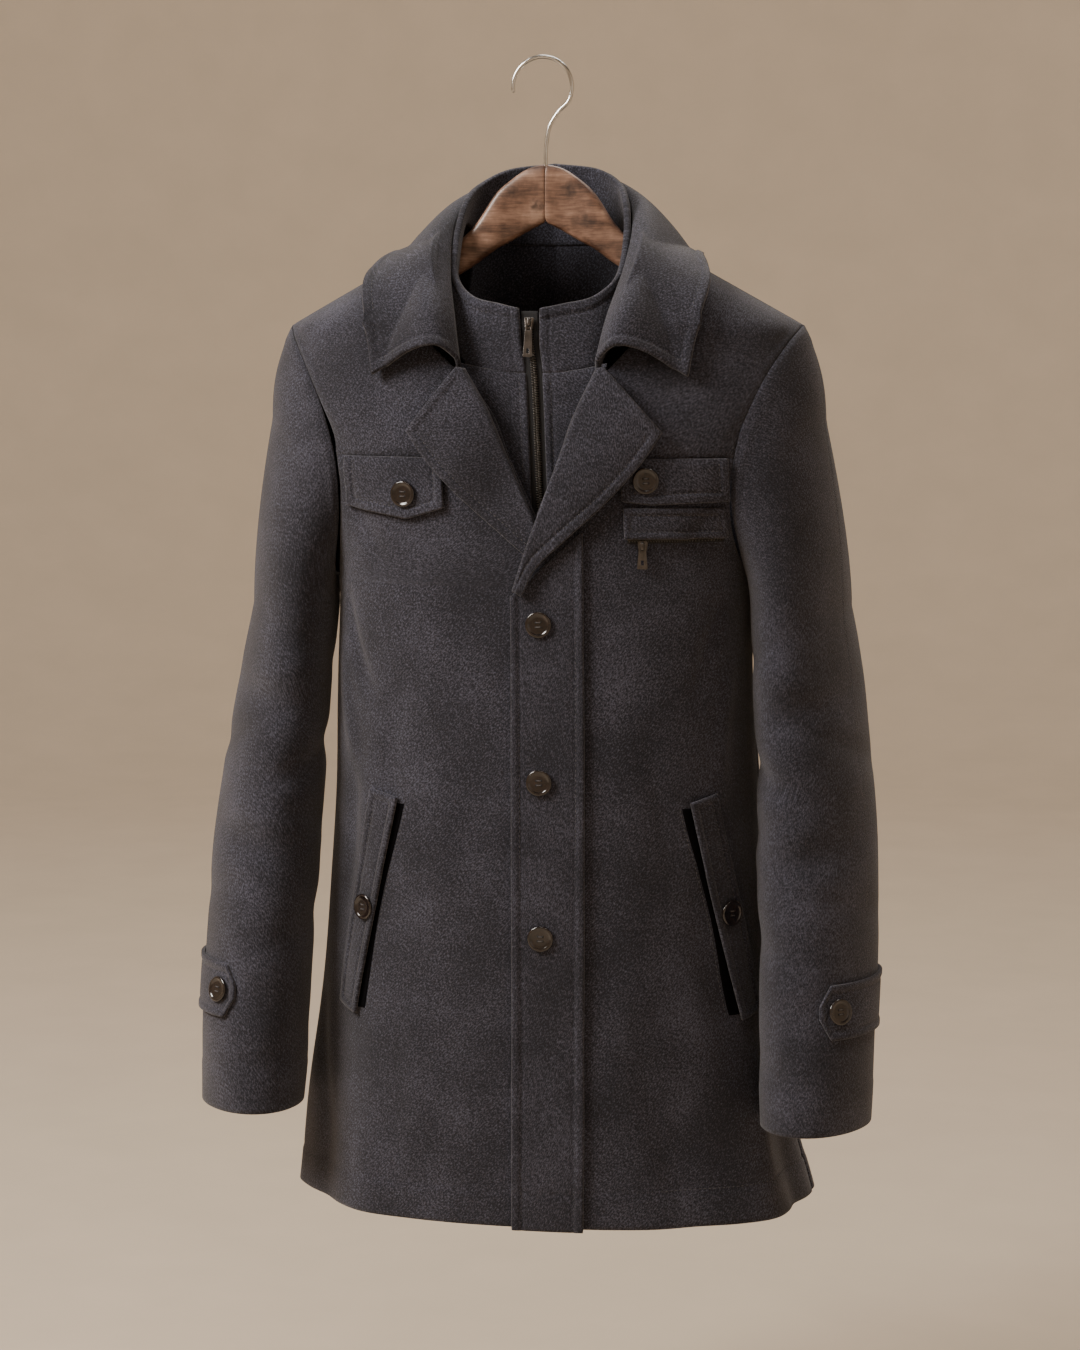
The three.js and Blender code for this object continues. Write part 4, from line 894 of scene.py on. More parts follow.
# The same sewing shows on the inside of the rim
insideGrid = (grid - gridNormals(grid) * doubledWall)[:, ::-1]
sewMargin(insideGrid, ["top"], standPiece["rimSewn"], start=7, end=7)


# Facing inside the neck, from the base of the stand down behind the hanger
facingPiece = {
    "rows": 40, "columns": 80, "from": 0.745, "below": 1.5, "deep": 92.0, "back": 17.0, "flare": 0.16, "wave": 1.2,
    "waves": 9, "flat": (0.17, 0.10), "area": 0.0135,
}
u, v = uvGrid(facingPiece)
grid = mirrored(standStations, mix(facingPiece["from"], 2 - facingPiece["from"], u) / 2)[..., 1, :].copy()
grid[..., 0] *= 1 + facingPiece["flare"] * v
grid[..., 1] += facingPiece["back"] * v + facingPiece["wave"] * np.sin(u * facingPiece["waves"]) * v
grid[..., 2] -= facingPiece["below"] + facingPiece["deep"] * v
addCloth("neck facing", grid, seamRoll(grid, ["top"], 0.9), facingPiece, charcoalCross, ("back",), node="back")


# Zipped bib below the stand, its outer edges sewn up behind the fronts
bibPiece = {
    "rows": 70, "columns": 36, "top": 270.7, "end": 440.0, "zipHalf": 7.6, "outerTop": 64, "outerEnd": 22, "curve": 8,
    "depth": 9.0, "seat": 3.6, "sewn": 6.0, "flat": (0.062, 0.185), "area": 0.0068,
}
for side, hand in hands:
    def bibPlace(u, v):
        # Offsets from the zip to an outer edge that narrows downwards
        share = u if side > 0 else 1 - u
        offset = mix(bibPiece["zipHalf"], mix(bibPiece["outerTop"], bibPiece["outerEnd"], v), share)
        drop = mix(bibPiece["top"] - bibPiece["curve"] * (offset / 60) ** 2, bibPiece["end"], v)
        middle = curveAt(zipLine, 1, drop) - curveAt(centreLine, 1, drop)
        rise = (bibPiece["depth"] - bibPiece["seat"]) * smoothStep(share, 0.8, 1) * np.minimum(v / 0.2, 1)
        return angleAt(side * offset + middle, drop), drop, rise - bibPiece["depth"] - clothWall
    grid = patchGrid(bibPiece, bibPlace)
    edge = "left" if side > 0 else "right"
    raised = sewnMargin(grid, [edge], bibPiece["sewn"], ridge=1.0, groove=0.8) + seamRoll(grid, ["top"], 0.8)
    addCloth(f"bib {hand}", grid, raised, bibPiece, charcoalCross, (f"front_yoke_{hand}",))
    sewMargin(grid, [edge], bibPiece["sewn"], start=2, end=2)


# Chest flaps sewn into the yoke seam, welts, hip welts and cuff tabs
flapPiece = {"seat": 0.4, "lift": 1.4}
chestFlaps = {
    "right": {"rows": 44, "columns": 64, "start": -172, "end": -80, "point": -113, "tall": 52, "rise": 10,
              "flat": (0.107, 0.054), "area": 0.0049},
    "left": {"rows": 44, "columns": 64, "start": 74, "end": 162, "point": 98, "tall": 38, "rise": 3,
             "flat": (0.103, 0.040), "area": 0.0037},
}
for hand, flap in chestFlaps.items():
    def flapPlace(u, v):
        # Lower edge rises from the flap's point to both ends
        offset = mix(flap["start"], flap["end"], u)
        reach = np.where(offset < flap["point"], flap["start"], flap["end"]) - flap["point"]
        away = np.clip(np.abs((offset - flap["point"]) / reach), 0, 1)
        drop = yokeSeamDrop + 1 + (flap["tall"] - flap["rise"] * away) * v
        return angleAt(offset, drop), drop, flapPiece["seat"] + flapPiece["lift"] * v
    grid = patchGrid(flap, flapPlace)
    raised = sewnMargin(grid, ["left", "right", "bottom"], ridge=1.0) + seamRoll(grid, ["top"], 0.8)
    addCloth(f"chest flap {hand}", grid, raised, flap, charcoalCross, (f"front_{hand}",))
    sewMargin(grid, ["left", "right"], start=2, end=stitchMargin)
    sewMargin(grid, ["bottom"], start=stitchMargin, end=stitchMargin)

weltPiece = {
    "rows": 26, "columns": 60, "start": 75, "end": 158, "top": 386, "bottom": 411, "seat": 0.55, "lift": 1.6,
    "sewn": 5.5, "flat": (0.099, 0.026), "area": 0.0025,
}


def weltPlace(u, v):
    # Straight band across the chest, standing off along its lower edge
    drop = mix(weltPiece["top"], weltPiece["bottom"], v)
    return angleAt(mix(weltPiece["start"], weltPiece["end"], u), drop), drop, weltPiece["seat"] + weltPiece["lift"] * v


grid = patchGrid(weltPiece, weltPlace)
raised = sewnMargin(grid, allSides, weltPiece["sewn"], ridge=0.8, groove=0.8)
addCloth("chest welt", grid, raised, weltPiece, charcoalCross, ("front_left",))
sewMargin(grid, allSides, weltPiece["sewn"], start=weltPiece["sewn"], end=weltPiece["sewn"])

hipPiece = {
    "rows": 90, "columns": 26, "top": 641, "bottom": 838, "rise": 6, "upper": 127, "lower": 168, "turn": 0.19,
    "seat": 0.55, "lift": 1.6, "sewn": 6.5, "flat": (0.036, 0.21), "area": 0.0061,
}
for side, hand in hands:
    def hipPlace(u, v):
        # The open edge runs from the upper to the lower offset and the welt turns outwards from it
        share = u if side > 0 else 1 - u
        drop = mix(hipPiece["top"], hipPiece["bottom"], v) - hipPiece["rise"] * share
        angle = angleAt(side * mix(hipPiece["upper"], hipPiece["lower"], v), drop) + side * hipPiece["turn"] * share
        return angle, drop, hipPiece["seat"] + hipPiece["lift"] * (1 - share)
    grid = patchGrid(hipPiece, hipPlace)
    raised = sewnMargin(grid, allSides, hipPiece["sewn"], ridge=0.9, groove=0.8)
    addCloth(f"hip welt {hand}", grid, raised, hipPiece, charcoalCross, (f"front_{hand}",))
    sewMargin(grid, allSides, hipPiece["sewn"], start=hipPiece["sewn"], end=hipPiece["sewn"])

tabPiece = {
    "rows": 26, "columns": 70, "drop": 819.0, "half": 23, "front": 58, "back": -48, "seat": 0.5, "sewn": 6.5,
    "button": 40, "buttonLift": 0.4, "flat": (0.122, 0.047), "area": 0.0052,
}
for side, hand in hands:
    u, v = uvGrid(tabPiece)
    share = 1 - u if side > 0 else u
    t = np.radians(mix(tabPiece["back"], tabPiece["front"], share))
    taper = np.minimum(0.25 + (1 - share) / 0.13, 1)
    drop = tabPiece["drop"] + tabPiece["half"] * taper * (2 * v - 1)
    grid, _ = sleeveSurface(side, t, drop, np.full(drop.shape, tabPiece["seat"] + clothWall))
    raised = sewnMargin(grid, allSides, tabPiece["sewn"], ridge=0.9, groove=0.8)
    addCloth(f"cuff tab {hand}", grid, raised, tabPiece, charcoalCross, (f"sleeve_{hand}",))
    sewMargin(grid, ["top", "bottom"], tabPiece["sewn"], start=9, end=9)


def tubeFaces(rows, count, turned=False):
    # Faces of a tube of rings with an end face at each end, wound the other way where turned
    first, last = list(range(count)), list(range((rows - 1) * count, rows * count))
    ends = [first, last[::-1]] if turned else [first[::-1], last]
    return quadsOf(rows, count, tube=True)[:, ::-1].tolist() + ends


def sweep(path, radii, count):
    # Rings of a wire that lies in an upright plane: p + r (cos a side + sin a normal), with small flat ends
    side = np.tile([0.0, 1.0, 0.0], (len(path), 1))
    normal = np.cross(unit(np.gradient(path, axis=0)), side)
    a = 2 * math.pi * np.arange(count) / count
    ring = np.cos(a)[None, :, None] * side[:, None] + np.sin(a)[None, :, None] * normal[:, None]
    return (path[:, None] + radii[:, None, None] * ring).reshape(-1, 3), tubeFaces(len(path), count, turned=True)


def roundedBlock(rows, columns, power):
    # Unit superellipsoid with small flat ends: spow(cos v) spow(cos u), spow(cos v) spow(sin u), spow(sin v)
    v = np.linspace(-math.pi / 2 * blockEnd, math.pi / 2 * blockEnd, rows)[:, None]
    u = (2 * math.pi * (np.arange(columns) + 0.5) / columns)[None]
    level = signedPower(np.cos(v), power)
    points = np.stack([
        level * signedPower(np.cos(u), power), level * signedPower(np.sin(u), power),
        np.broadcast_to(signedPower(np.sin(v), power), (rows, columns)),
    ], -1).reshape(-1, 3)
    return points, tubeFaces(rows, columns)


def hard(obj, material, body="coat", nodes=()):
    # Material, body and the CAD nodes of a hard piece
    obj.data.materials.append(material)
    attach(obj, body)
    if nodes:
        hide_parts(*nodes)
    return obj


def addMany(name, shape, places, axes, size, material, slotName, nodes=()):
    # Copies of one small shape: place + x size axis, for every place at once
    points, faces = shape
    copies = np.asarray(places)[:, None] + np.einsum("pk,k,nkj->npj", points, size, np.asarray(axes))
    allFaces = [[corner + n * len(points) for corner in face] for n in range(len(places)) for face in faces]
    hard(makeMesh(name, copies.reshape(-1, 3), allFaces), material, nodes=nodes)


# Painted shade: a near-black strip beside the free edge of each hip pocket's welt stands for the shadow in its open
# slit, narrow in the middle
slitPiece = {
    "rows": 80, "columns": 6, "under": 3.0, "wide": 9.5, "drawn": 3.6, "lift": 0.3, "ends": 5, "wall": 0.5,
    "beside": 1.8,
}
# Near-black, almost matt colour painted as the shadow inside the slit
slitShade = plain("pocket shadow", (0.003, 0.0028, 0.0034), 0.95, 0.0, 900.0, 0.0003, 0.4, {"Specular IOR Level": 0.04})
for side, hand in hands:
    u, v = uvGrid(slitPiece)
    drop = mix(hipPiece["top"] + slitPiece["ends"], hipPiece["bottom"] - slitPiece["ends"], v)
    share = (drop - hipPiece["top"]) / (hipPiece["bottom"] - hipPiece["top"])
    edge = mix(hipPiece["upper"], hipPiece["lower"], share)
    # Widest at its square ends, drawn in at the button
    wide = slitPiece["wide"] - slitPiece["drawn"] * np.sin(math.pi * v) ** 2
    across = mix(slitPiece["under"] - wide, slitPiece["under"], u if side > 0 else 1 - u)
    grid = frontPoint(side * (edge + across), drop, slitPiece["lift"])
    hard(shell(f"hip slit {hand}", grid, slitPiece["wall"]), slitShade)
    # A line of sewing runs beside it
    drop = drop[:, 0]
    offset = side * (edge[:, 0] + slitPiece["under"] - wide[:, 0] - slitPiece["beside"])
    line = frontPoint(offset, drop, np.full(drop.shape, slitPiece["wall"]))
    stitchPaths.append((line, bodyNormal(angleAt(offset, drop), drop)))
print("hip slits ready")


# Main zip: woven tape, two rows of teeth, slider and pull
zipPiece = {
    "top": 219.0, "end": 440.0, "half": 7.0, "rows": 90, "columns": 12, "behind": 1.2, "wall": 1.4, "pitch": 2.1,
    "firstTooth": 8, "toothOff": 1.15, "toothOut": 0.1, "tooth": (1.75, 1.0, 0.62), "flat": (0.014, 0.226),
    "area": 0.0031,
}
bronze = plain("aged bronze", (0.135, 0.126, 0.122), 0.28, 1.0, 160.0, 0.00015, 0.35)
toothMetal = plain("dark tooth metal", (0.085, 0.078, 0.07), 0.32, 1.0, 160.0, 0.0001, 0.3)
tapeMaterial = plain("zip tape", (0.0095, 0.0092, 0.0105), 0.9, 0.0, 1400.0, 0.0003, 0.4)


def zipPoint(offset, drop, lift):
    # Straight across the zip's middle line, moved forwards by the lift
    offset, drop, lift = np.broadcast_arrays(offset, drop, lift)
    return np.stack([curveAt(zipLine, 1, drop) + offset, curveAt(zipLine, 2, drop) - lift, -drop], -1)


u, v = uvGrid(zipPiece)
grid = zipPoint(zipPiece["half"] * (2 * u - 1), mix(zipPiece["top"], zipPiece["end"], v), -zipPiece["behind"])
addCloth("zip tape", grid, None, zipPiece, tapeMaterial, ("bib_left", "bib_right"), wall=zipPiece["wall"],
         slotName="zip_tape_cloth")
drops = np.arange(zipPiece["top"] + zipPiece["firstTooth"], zipPiece["end"] - 1, zipPiece["pitch"] / 2)
handed = np.where(np.arange(len(drops)) % 2 == 0, 1.0, -1.0)
downWay = unit(np.gradient(zipPoint(0 * drops, drops, zipPiece["toothOut"]), axis=0))
acrossWay = np.tile([1.0, 0, 0], (len(drops), 1))
axes = np.stack([acrossWay, np.cross(downWay, acrossWay), downWay], 1)
tooth = roundedBlock(5, 8, 0.5)
places = zipPoint(zipPiece["toothOff"] * handed, drops, zipPiece["toothOut"])
addMany("zip teeth", tooth, places, axes, zipPiece["tooth"], toothMetal, "bronze_metal", ("zip_chain",))

# Each slider and pull: the CAD hinge, the slope of the cloth under it, and its real sizes
sliders = {
    "zip": {"hinge": (-1.32, -85.60, -227.35), "slope": 0.2312, "neckHalf": 2.9, "endHalf": 4.3, "neck": 9,
            "length": 31},
    "chest_zip": {"hinge": (100.23, -107.35, -416.93), "slope": 0.0177, "neckHalf": 3.4, "endHalf": 4.6, "neck": 7,
                  "length": 20},
}
sliderBody = {
    "low": -6.0, "high": 3.4, "thick": 2.0, "lowHalf": 2.7, "highHalf": 3.9, "archOut": 4.6, "wire": 0.45,
    "pullOut": 2.85, "corner": 1.2, "bevel": 0.35, "archHalf": 1.25, "archSteps": 40, "archRound": 16, "square": 0.6,
}
# The pull's corners, bevel and thickness, and the half widths of its slot and its tapered hole
pullPiece = {
    "corner": 1.0, "bevel": 0.2, "thick": 1.0, "over": 0.5, "slot": 1.7, "slotCorner": 0.3, "holeUpper": 1.3,
    "holeLower": 1.5, "holeTop": 7.5, "holeEnd": 3, "holeCorner": 0.5,
}


def tilted(points, slope, place):
    # Turn about X by minus the slope, then move to the place
    c, s = math.cos(-slope), math.sin(-slope)
    x, y, z = points[..., 0], points[..., 1], points[..., 2]
    return np.stack([x, y * c - z * s, y * s + z * c], -1) + np.asarray(place)


def plateMesh(name, outlines, thick, bevel, slope, place):
    # Flat plate with bevelled edges from closed outlines, the first its rim and the others its holes
    curve = bpy.data.curves.new(name, "CURVE")
    curve.dimensions, curve.fill_mode = "2D", "BOTH"
    curve.extrude, curve.bevel_depth, curve.bevel_resolution = thick / 2 - bevel, bevel, 2
    for k, outline in enumerate(outlines):
        spline = curve.splines.new("POLY")
        spline.points.add(len(outline) - 1)
        flat = np.column_stack([outline, np.zeros(len(outline)), np.ones(len(outline))])
        spline.points.foreach_set("co", flat.ravel())
        spline.use_cyclic_u = True
    source = bpy.data.objects.new(name, curve)
    bpy.context.scene.collection.objects.link(source)
    filled = bpy.data.meshes.new_from_object(source.evaluated_get(bpy.context.evaluated_depsgraph_get()))
    bpy.data.objects.remove(source)
    corners = np.empty(len(filled.vertices) * 3)
    filled.vertices.foreach_get("co", corners)
    corners = corners.reshape(-1, 3)
    upright = np.stack([corners[:, 0], -corners[:, 2], corners[:, 1]], -1)
    faces = [list(polygon.vertices) for polygon in filled.polygons]
    return makeMesh(name, tilted(upright, slope, place), faces, smooth=False)


def roundedOutline(corners, radius, steps=4):
    # Each corner is cut by a quadratic curve between points a radius away from it
    corners = np.asarray(corners, float)
    line = []
    for k in range(len(corners)):
        here, before, after = corners[k], corners[k - 1], corners[(k + 1) % len(corners)]
        first = here + unit(before - here) * radius
        last = here + unit(after - here) * radius
        t = np.linspace(0, 1, steps + 1)[:, None]
        line.append((1 - t) ** 2 * first + 2 * t * (1 - t) * here + t * t * last)
    return np.concatenate(line)


for name, size in sliders.items():
    slope = size["slope"]
    outward = np.array([0, -math.cos(slope), math.sin(slope)])
    seat = np.array(size["hinge"]) - outward * sliderBody["pullOut"]
    low, high, steps, count = (sliderBody[key] for key in ("low", "high", "archSteps", "archRound"))
    lowHalf, highHalf, thick = (sliderBody[key] for key in ("lowHalf", "highHalf", "thick"))
    rim = roundedOutline([
        (-lowHalf, low), (lowHalf, low), (highHalf, 0), (highHalf, high), (-highHalf, high), (-highHalf, 0),
    ], sliderBody["corner"])
    body = plateMesh(f"{name} slider body", [rim], thick, sliderBody["bevel"], slope, seat + outward * thick / 2)
    hard(body, bronze, nodes=(f"{name}_slider",))
    # Flat wire arch that holds the pull: out from the body and along the zip
    top = sliderBody["archOut"] - sliderBody["wire"]
    bend = np.array([
        [1.6, low + 1.6], [2.6, low + 1.9], [top - 0.3, low + 2.7], [top, low + 3.8], [top, 0], [top, high - 2.2],
        [top - 0.3, high - 1.3], [2.6, high - 0.8], [1.6, high - 0.7],
    ])
    bend = splineThrough(np.tile(bend, (steps, 1, 1)), np.linspace(0, 1, steps))
    path = np.stack([np.zeros(steps), -bend[:, 0], bend[:, 1]], -1)
    sideWay = np.tile([1.0, 0, 0], (steps, 1))
    upWay = np.cross(unit(np.gradient(path, axis=0)), sideWay)
    a = 2 * math.pi * (np.arange(count) + 0.5) / count
    ring = sliderBody["archHalf"] * signedPower(np.cos(a), sliderBody["square"])[None, :, None] * sideWay[:, None]
    ring = ring + sliderBody["wire"] * signedPower(np.sin(a), sliderBody["square"])[None, :, None] * upWay[:, None]
    points = tilted((path[:, None] + ring).reshape(-1, 3), slope, seat)
    hard(makeMesh(f"{name} slider arch", points, tubeFaces(steps, count, turned=True)), bronze)
    neckHalf, endHalf, neck, length = (size[key] for key in ("neckHalf", "endHalf", "neck", "length"))
    over, slotHalf, upper, lower = (pullPiece[key] for key in ("over", "slot", "holeUpper", "holeLower"))
    outer = roundedOutline([
        (-neckHalf, over), (-neckHalf, -neck), (-endHalf, -length), (endHalf, -length), (neckHalf, -neck),
        (neckHalf, over),
    ], pullPiece["corner"])
    slot = roundedOutline([
        (-slotHalf, -over), (slotHalf, -over), (slotHalf, 1 - neck), (-slotHalf, 1 - neck),
    ], pullPiece["slotCorner"])
    holeTop, holeEnd = pullPiece["holeTop"] - length, pullPiece["holeEnd"] - length
    hole = roundedOutline([
        (-upper, holeTop), (upper, holeTop), (lower, holeEnd), (-lower, holeEnd),
    ], pullPiece["holeCorner"])
    # The bevel adds its own width, so the rim is drawn in by it
    outer = outer * [1 - pullPiece["bevel"] / endHalf, 1]
    plates = [outer, slot, hole]
    pull = plateMesh(f"{name} pull", plates, pullPiece["thick"], pullPiece["bevel"], slope, size["hinge"])
    hard(pull, bronze, body=f"{name}_pull", nodes=(f"{name}_pull",))
print("zips ready")

# Chest zip under the welt: two short rows of teeth on a dark tape
chestZip = {
    "rows": 8, "columns": 60, "start": 78, "end": 156, "teeth": 70, "drop": 412.4, "off": 0.7, "lift": 0.9,
    "tooth": (0.55, 0.7, 1.3), "tapeTop": 408.0, "tapeEnd": 415.5, "tapeLift": 0.45, "wall": 0.9,
}
drops = np.full(chestZip["teeth"], chestZip["drop"])
offsets = np.linspace(chestZip["start"], chestZip["end"], chestZip["teeth"])
rowSide = np.where(np.arange(chestZip["teeth"]) % 2 == 0, -chestZip["off"], chestZip["off"])
places = frontPoint(offsets, drops + rowSide, np.full(chestZip["teeth"], chestZip["lift"]))
outWay = bodyNormal(angleAt(offsets, drops), drops)
alongWay = unit(np.gradient(places, axis=0) * [1, 1, 0])
axes = np.stack([alongWay, outWay, np.cross(alongWay, outWay)], 1)
addMany("chest zip teeth", tooth, places, axes, chestZip["tooth"], toothMetal, "bronze_metal")
u, v = uvGrid(chestZip)
across, drop = mix(chestZip["start"] - 1, chestZip["end"] + 1, u), mix(chestZip["tapeTop"], chestZip["tapeEnd"], v)
grid = frontPoint(across, drop, np.full(u.shape, chestZip["tapeLift"]))
hard(shell("chest zip tape", grid, chestZip["wall"]), tapeMaterial)
print("chest zip ready")


# Buttons: radius and height of the turned profile, four holes painted as dark discs of shade, and crossed thread
buttonPiece = {
    "radius": 11.4, "face": 1.9, "holeOut": 2.0, "round": 56, "hole": (1.05, 1.05, 0.12), "threadOut": 0.45,
    "thread": (2.4, 0.55, 0.45),
}
buttonProfile = np.array([
    [0.02, 0], [0.6, 0], [0.86, 0.25], [0.97, 0.8], [1.0, 1.5], [0.995, 2.1], [0.965, 2.6], [0.915, 2.95], [0.86, 3.0],
    [0.8, 2.85], [0.75, 2.5], [0.7, 2.15], [0.62, 1.95], [0.5, 1.9], [0.02, 1.9],
])
# Offset from the centre line, drop and lift of the buttons on the body
bodyButtons = {
    "button_front_upper": (1, 485, 0.3), "button_front_middle": (1, 621, 0.3), "button_front_lower": (2, 757, 0.3),
    "button_chest_right": (-115, 375, 0.6), "button_chest_left": (94, 362, 0.5),
    "button_hip_right": (-158, 741, 0.75), "button_hip_left": (158, 741, 0.6),
}
hornLooks = {"Coat Weight": 0.6, "Coat Roughness": 0.08}
horn = plain("dark horn", (0.012, 0.0075, 0.0065), 0.16, 0.0, 90.0, 0.00005, 0.6, hornLooks)
# Painted shade: near-black colour for flat discs that stand for the shadow inside the button holes
holeShade = plain("button hole", (0.004, 0.003, 0.003), 0.7, 0.0, 200.0, 0.0001, 0.2)
thread = plain("sewing thread", (0.07, 0.065, 0.066), 0.75, 0.0, 900.0, 0.0002, 0.3)
holeSpots, threadSpots = [], []


def addButton(node, place, normal):
    # Turned disc: rings of the profile round the normal, with the places of its holes and thread
    across = unit(np.cross([0, 0, 1.0], normal))
    axes = np.stack([across, np.cross(normal, across), normal])
    a = 2 * math.pi * np.arange(buttonPiece["round"]) / buttonPiece["round"]
    radius = buttonProfile[:, 0, None] * buttonPiece["radius"]
    height = np.broadcast_to(buttonProfile[:, 1, None], (len(radius), len(a)))
    points = np.stack([radius * np.cos(a), radius * np.sin(a), height], -1) @ axes + place
    faces = tubeFaces(len(buttonProfile), len(a))
    hard(makeMesh(node.replace("_", " "), points.reshape(-1, 3), faces), horn, nodes=(node,))
    out, face = buttonPiece["holeOut"], buttonPiece["face"]
    for x, y in ((1, 1), (-1, 1), (-1, -1), (1, -1)):
        holeSpots.append((np.array([x * out, y * out, face]) @ axes + place, axes))
    for y in (1, -1):
        threadSpots.append((np.array([0, y * out, face + buttonPiece["threadOut"]]) @ axes + place, axes))


for node, (offset, drop, lift) in bodyButtons.items():
    angle = angleAt(np.array(float(offset)), np.array(float(drop)))
    normal = bodyNormal(angle, np.array(float(drop)))
    addButton(node, clothPoint(angle, float(drop), overlayLift + clothWall + lift), normal)
for side, hand in hands:
    lift = tabPiece["seat"] + clothWall + tabPiece["buttonLift"]
    place, normal = sleeveSurface(side, math.radians(tabPiece["button"]), tabPiece["drop"], lift)
    addButton(f"button_cuff_{hand}", place, normal)
ball = roundedBlock(5, 12, 1.0)
# The holes are not cut, only painted as dark discs of shade on the button face
addMany("button holes", ball, *zip(*holeSpots), buttonPiece["hole"], holeShade, "dark_horn")
addMany("button threads", ball, *zip(*threadSpots), buttonPiece["thread"], thread, "wool_cloth")
print("buttons ready")


# Wooden hanger: across, top, bottom, along, thick
hangerPiece = {"half": 200.0, "stations": 90, "round": 48, "closer": 1.2, "square": 0.6, "end": 5}
hangerSections = np.array([
    [0.2, 91, 141.5, 0, 7], [15, 94.5, 149, 0, 7], [30, 104, 157.5, -1, 7.2], [44, 116.5, 165, -2, 7.6],
    [62, 143, 178, -2, 8], [82, 161, 190, -3, 8.6], [135, 183.8, 215, -9, 10], [180, 208.8, 236, -9, 11],
    [200, 220.8, 244, -8, 9.0],
])
wood = walnut("brown varnished wood")
for side, hand in hands:
    across = mix(seamGap / 2, hangerPiece["half"], np.linspace(0, 1, hangerPiece["stations"]) ** hangerPiece["closer"])
    top, bottom, along, thick = (curveAt(hangerSections, k, across)[:, None] for k in range(1, 5))
    a = side * 2 * math.pi * (np.arange(hangerPiece["round"]) + 0.5)[None] / hangerPiece["round"]
    # Each arm closes in an ellipse at its end and has a fine groove at the middle of the hanger
    ends = np.minimum((hangerPiece["half"] - across) / hangerPiece["end"], 1)[:, None]
    close = np.minimum(np.sqrt(np.clip(1 - (1 - ends) ** 2, 0.04, 1)), 1)
    close = close * (1 - 0.05 * np.exp(-(across[:, None] / 1.2) ** 2))
    y = along + thick * close * signedPower(np.cos(a), hangerPiece["square"])
    z = -(top + bottom) / 2 + (bottom - top) / 2 * close * signedPower(np.sin(a), hangerPiece["square"])
    points = np.stack([np.broadcast_to(side * across[:, None], y.shape), y, z], -1).reshape(-1, 3)
    faces = tubeFaces(len(across), hangerPiece["round"])
    hard(makeMesh(f"hanger {hand}", points, faces), wood, nodes=(f"hanger_{hand}",))

# Steel hook: a circle open at the viewer's left, then an offset neck down into the wood
hookPiece = {
    "wire": 1.85, "radius": 26.2, "centre": (-3.0, -24.35), "steps": 150, "round": 24,
    "neck": [[12, -45], [4, -57], [1, -70], [0, -82], [0, -96]],
}
turns = np.radians(np.arange(190, -31, -20.0))
knots = hookPiece["centre"] + hookPiece["radius"] * np.column_stack([np.cos(turns), np.sin(turns)])
knots = np.concatenate([knots, hookPiece["neck"]])
line = splineThrough(np.tile(knots, (hookPiece["steps"], 1, 1)), np.linspace(0, 1, hookPiece["steps"]))
path = np.stack([line[:, 0], np.zeros(len(line)), line[:, 1]], -1)
tip = np.minimum(runLengths(path[None], 1)[0] / hookPiece["wire"], 1)
radii = hookPiece["wire"] * np.sqrt(np.clip(1 - (1 - tip) ** 2, 0.05, 1))
steel = plain("polished steel", (0.62, 0.61, 0.59), 0.2, 1.0, 70.0, 0.00005, 0.12)
hard(makeMesh("hook", *sweep(path, radii, hookPiece["round"])), steel, nodes=("hook",))
print("hanger and hook ready")


# Thread of all the sewing: short stitches laid along the remembered lines
stitchPiece = {"pitch": 4.4, "size": (1.5, 0.42, 0.4), "sink": 0.5}


def resampled(values, along, at):
    # Values of each column at lengths along a line
    return np.column_stack([np.interp(at, along, values[:, k]) for k in range(3)])


centres, ways, ups = [], [], []
for points, normals in stitchPaths:
    along = runLengths(points[None], 1)[0]
    if along[-1] < 2 * stitchPiece["pitch"]:
        continue
    at = np.arange(stitchPiece["pitch"] / 2, along[-1], stitchPiece["pitch"])
    place, up = resampled(points, along, at), unit(resampled(normals, along, at))
    way = resampled(points, along, at + 0.5) - place
    keep = np.linalg.norm(way, axis=1) > 0.1
    centres.append((place - up * stitchPiece["sink"])[keep])
    ways.append(unit(way[keep]))
    ups.append(up[keep])
centres, ways, ups = np.concatenate(centres), np.concatenate(ways), np.concatenate(ups)
tiny = np.array([[1, 0, 0], [-1, 0, 0], [0, 1, 0], [0, -1, 0], [0, 0, 1], [0, 0, -1.0]])
tinyFaces = [[0, 2, 4], [2, 1, 4], [1, 3, 4], [3, 0, 4], [2, 0, 5], [1, 2, 5], [3, 1, 5], [0, 3, 5]]
axes = np.stack([ways, np.cross(ups, ways), ups], 1)
addMany("topstitching", (tiny, tinyFaces), centres, axes, stitchPiece["size"], thread, "wool_cloth")
print("stitches", len(centres))


# Pale round floor sweeping up into a wall on every side, in metres
stagePiece = {
    "floor": -1.34, "rings": [0.0005, 1.5, 3.0], "flat": 4.2, "bend": 2.4, "top": 5.0, "round": 72, "bendRows": 16,
}
turn = np.linspace(0, math.pi / 2, stagePiece["bendRows"] + 1)
bend = stagePiece["flat"] + stagePiece["bend"] * np.sin(turn)
radii = np.concatenate([stagePiece["rings"], bend, [stagePiece["flat"] + stagePiece["bend"]]])[:, None]
rise = stagePiece["floor"] + stagePiece["bend"] * (1 - np.cos(turn))
heights = np.concatenate([np.full(len(stagePiece["rings"]), stagePiece["floor"]), rise, [stagePiece["top"]]])
around = 2 * math.pi * np.arange(stagePiece["round"]) / stagePiece["round"]
level = np.broadcast_to(heights[:, None], (len(radii), len(around)))
points = np.stack([radii * np.cos(around), radii * np.sin(around), level], -1).reshape(-1, 3) / scale
floor = makeMesh("floor", points, quadsOf(len(radii), len(around), tube=True))
floor.data.materials.append(plain("pale warm paper", (0.55, 0.455, 0.35), 0.9, 0.0, 6.0, 0.0001, 0.03))
print("stage ready")


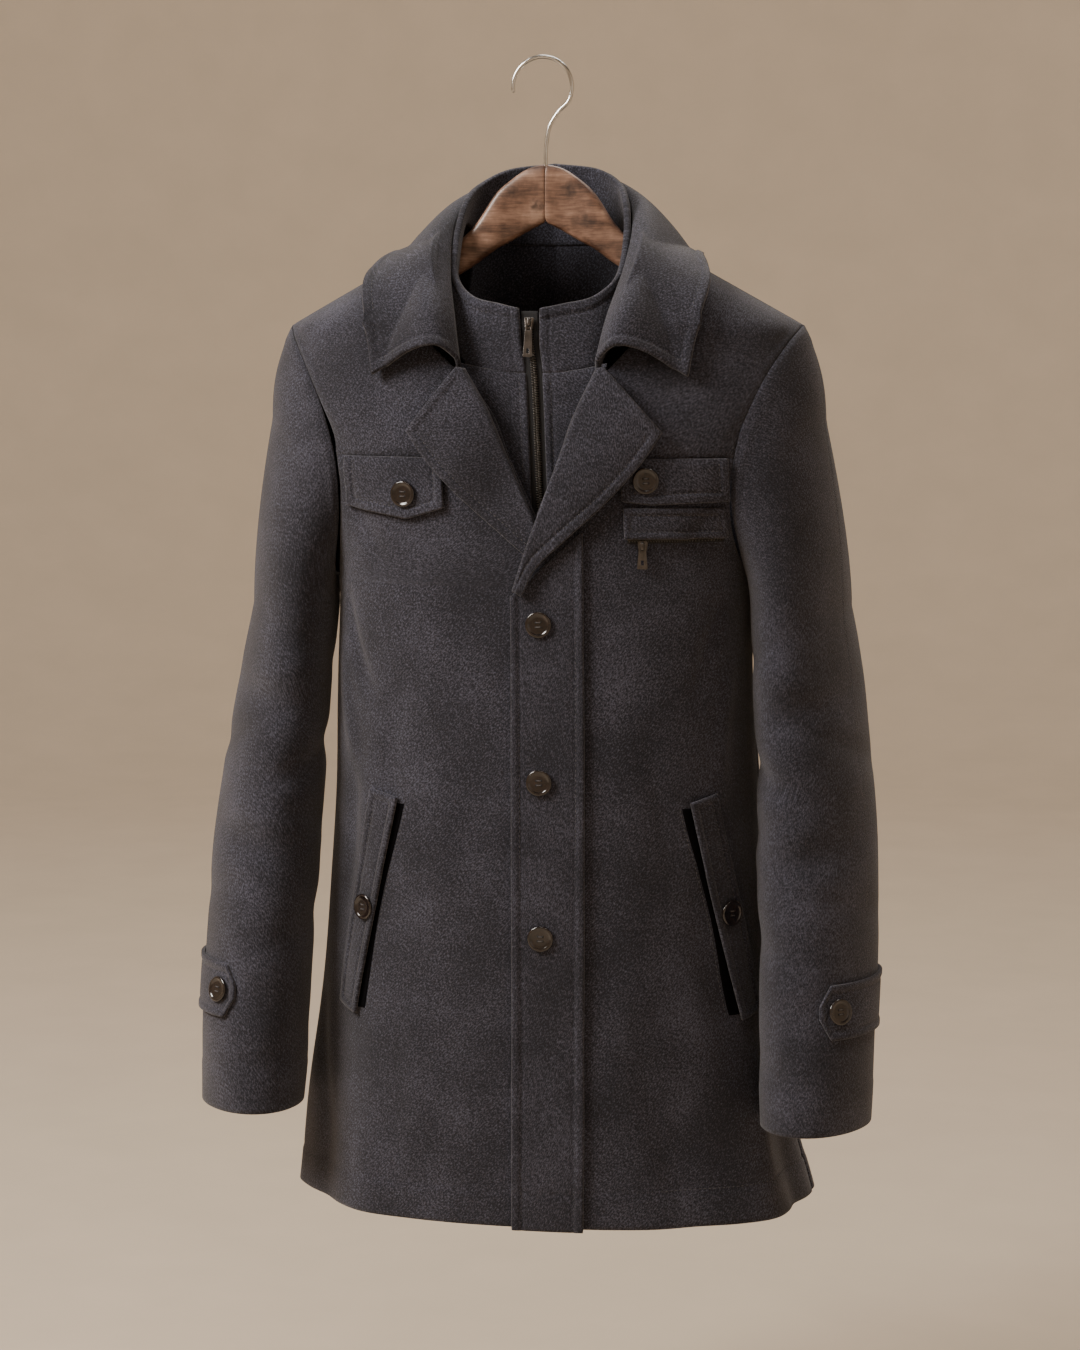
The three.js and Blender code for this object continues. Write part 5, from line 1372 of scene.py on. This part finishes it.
def areaLight(name, place, target, size, power, colour):
    # Square soft light aimed at a point, in metres and watts
    data = bpy.data.lights.new(name, "AREA")
    data.shape, data.size, data.energy, data.color = "SQUARE", size, power, colour
    light = bpy.data.objects.new(name, data)
    light.location = place
    light.rotation_euler = (Vector(target) - Vector(place)).to_track_quat("-Z", "Y").to_euler()
    bpy.context.scene.collection.objects.link(light)


areaLight("window", (-2.0, -1.35, 1.3), (0, 0, -0.4), 1.2, 122, (1.0, 0.95, 0.89))
areaLight("fill", (2.3, -2.4, 0.1), (0.1, 0, -0.6), 2.2, 4, (1.0, 0.95, 0.9))
areaLight("top", (0.2, 0.9, 1.4), (0, 0, -0.3), 1.2, 22, (1.0, 0.96, 0.9))
# Four lights overhead face outwards and wash the wall
washPiece = {
    "out": 2.2, "height": 3.4, "reach": 6.6, "low": -0.1, "size": 1.6, "power": 112, "colour": (1.0, 0.94, 0.87),
}
for turn in range(4):
    way = np.array([math.cos(turn * math.pi / 2), math.sin(turn * math.pi / 2)])
    place, target = (*(washPiece["out"] * way), washPiece["height"]), (*(washPiece["reach"] * way), washPiece["low"])
    areaLight(f"wall wash {turn}", place, target, washPiece["size"], washPiece["power"], washPiece["colour"])
world = bpy.data.worlds.new("room")
world.use_nodes = True
background = world.node_tree.nodes["Background"]
background.inputs["Color"].default_value = nodeRgb(0.72, 0.66, 0.60)
background.inputs["Strength"].default_value = 0.12
bpy.context.scene.world = world
print("lights ready")

# Camera at the photo's place: 9 degrees towards the wearer's left, looking 7.2 degrees down
cameraPiece = {"place": (0.409, -2.615, -0.209), "azimuth": 9.0, "pitch": 7.2, "lens": 79.238, "sensor": 36.0}
cameraData = bpy.data.cameras.new("camera")
cameraData.lens, cameraData.sensor_width, cameraData.sensor_fit = cameraPiece["lens"], cameraPiece["sensor"], "AUTO"
camera = bpy.data.objects.new("camera", cameraData)
camera.location = cameraPiece["place"]
azimuth, pitch = math.radians(cameraPiece["azimuth"]), math.radians(cameraPiece["pitch"])
look = Vector((-math.sin(azimuth) * math.cos(pitch), math.cos(azimuth) * math.cos(pitch), -math.sin(pitch)))
camera.rotation_euler = look.to_track_quat("-Z", "Y").to_euler()
bpy.context.scene.collection.objects.link(camera)
bpy.context.scene.camera = camera
print("camera ready")
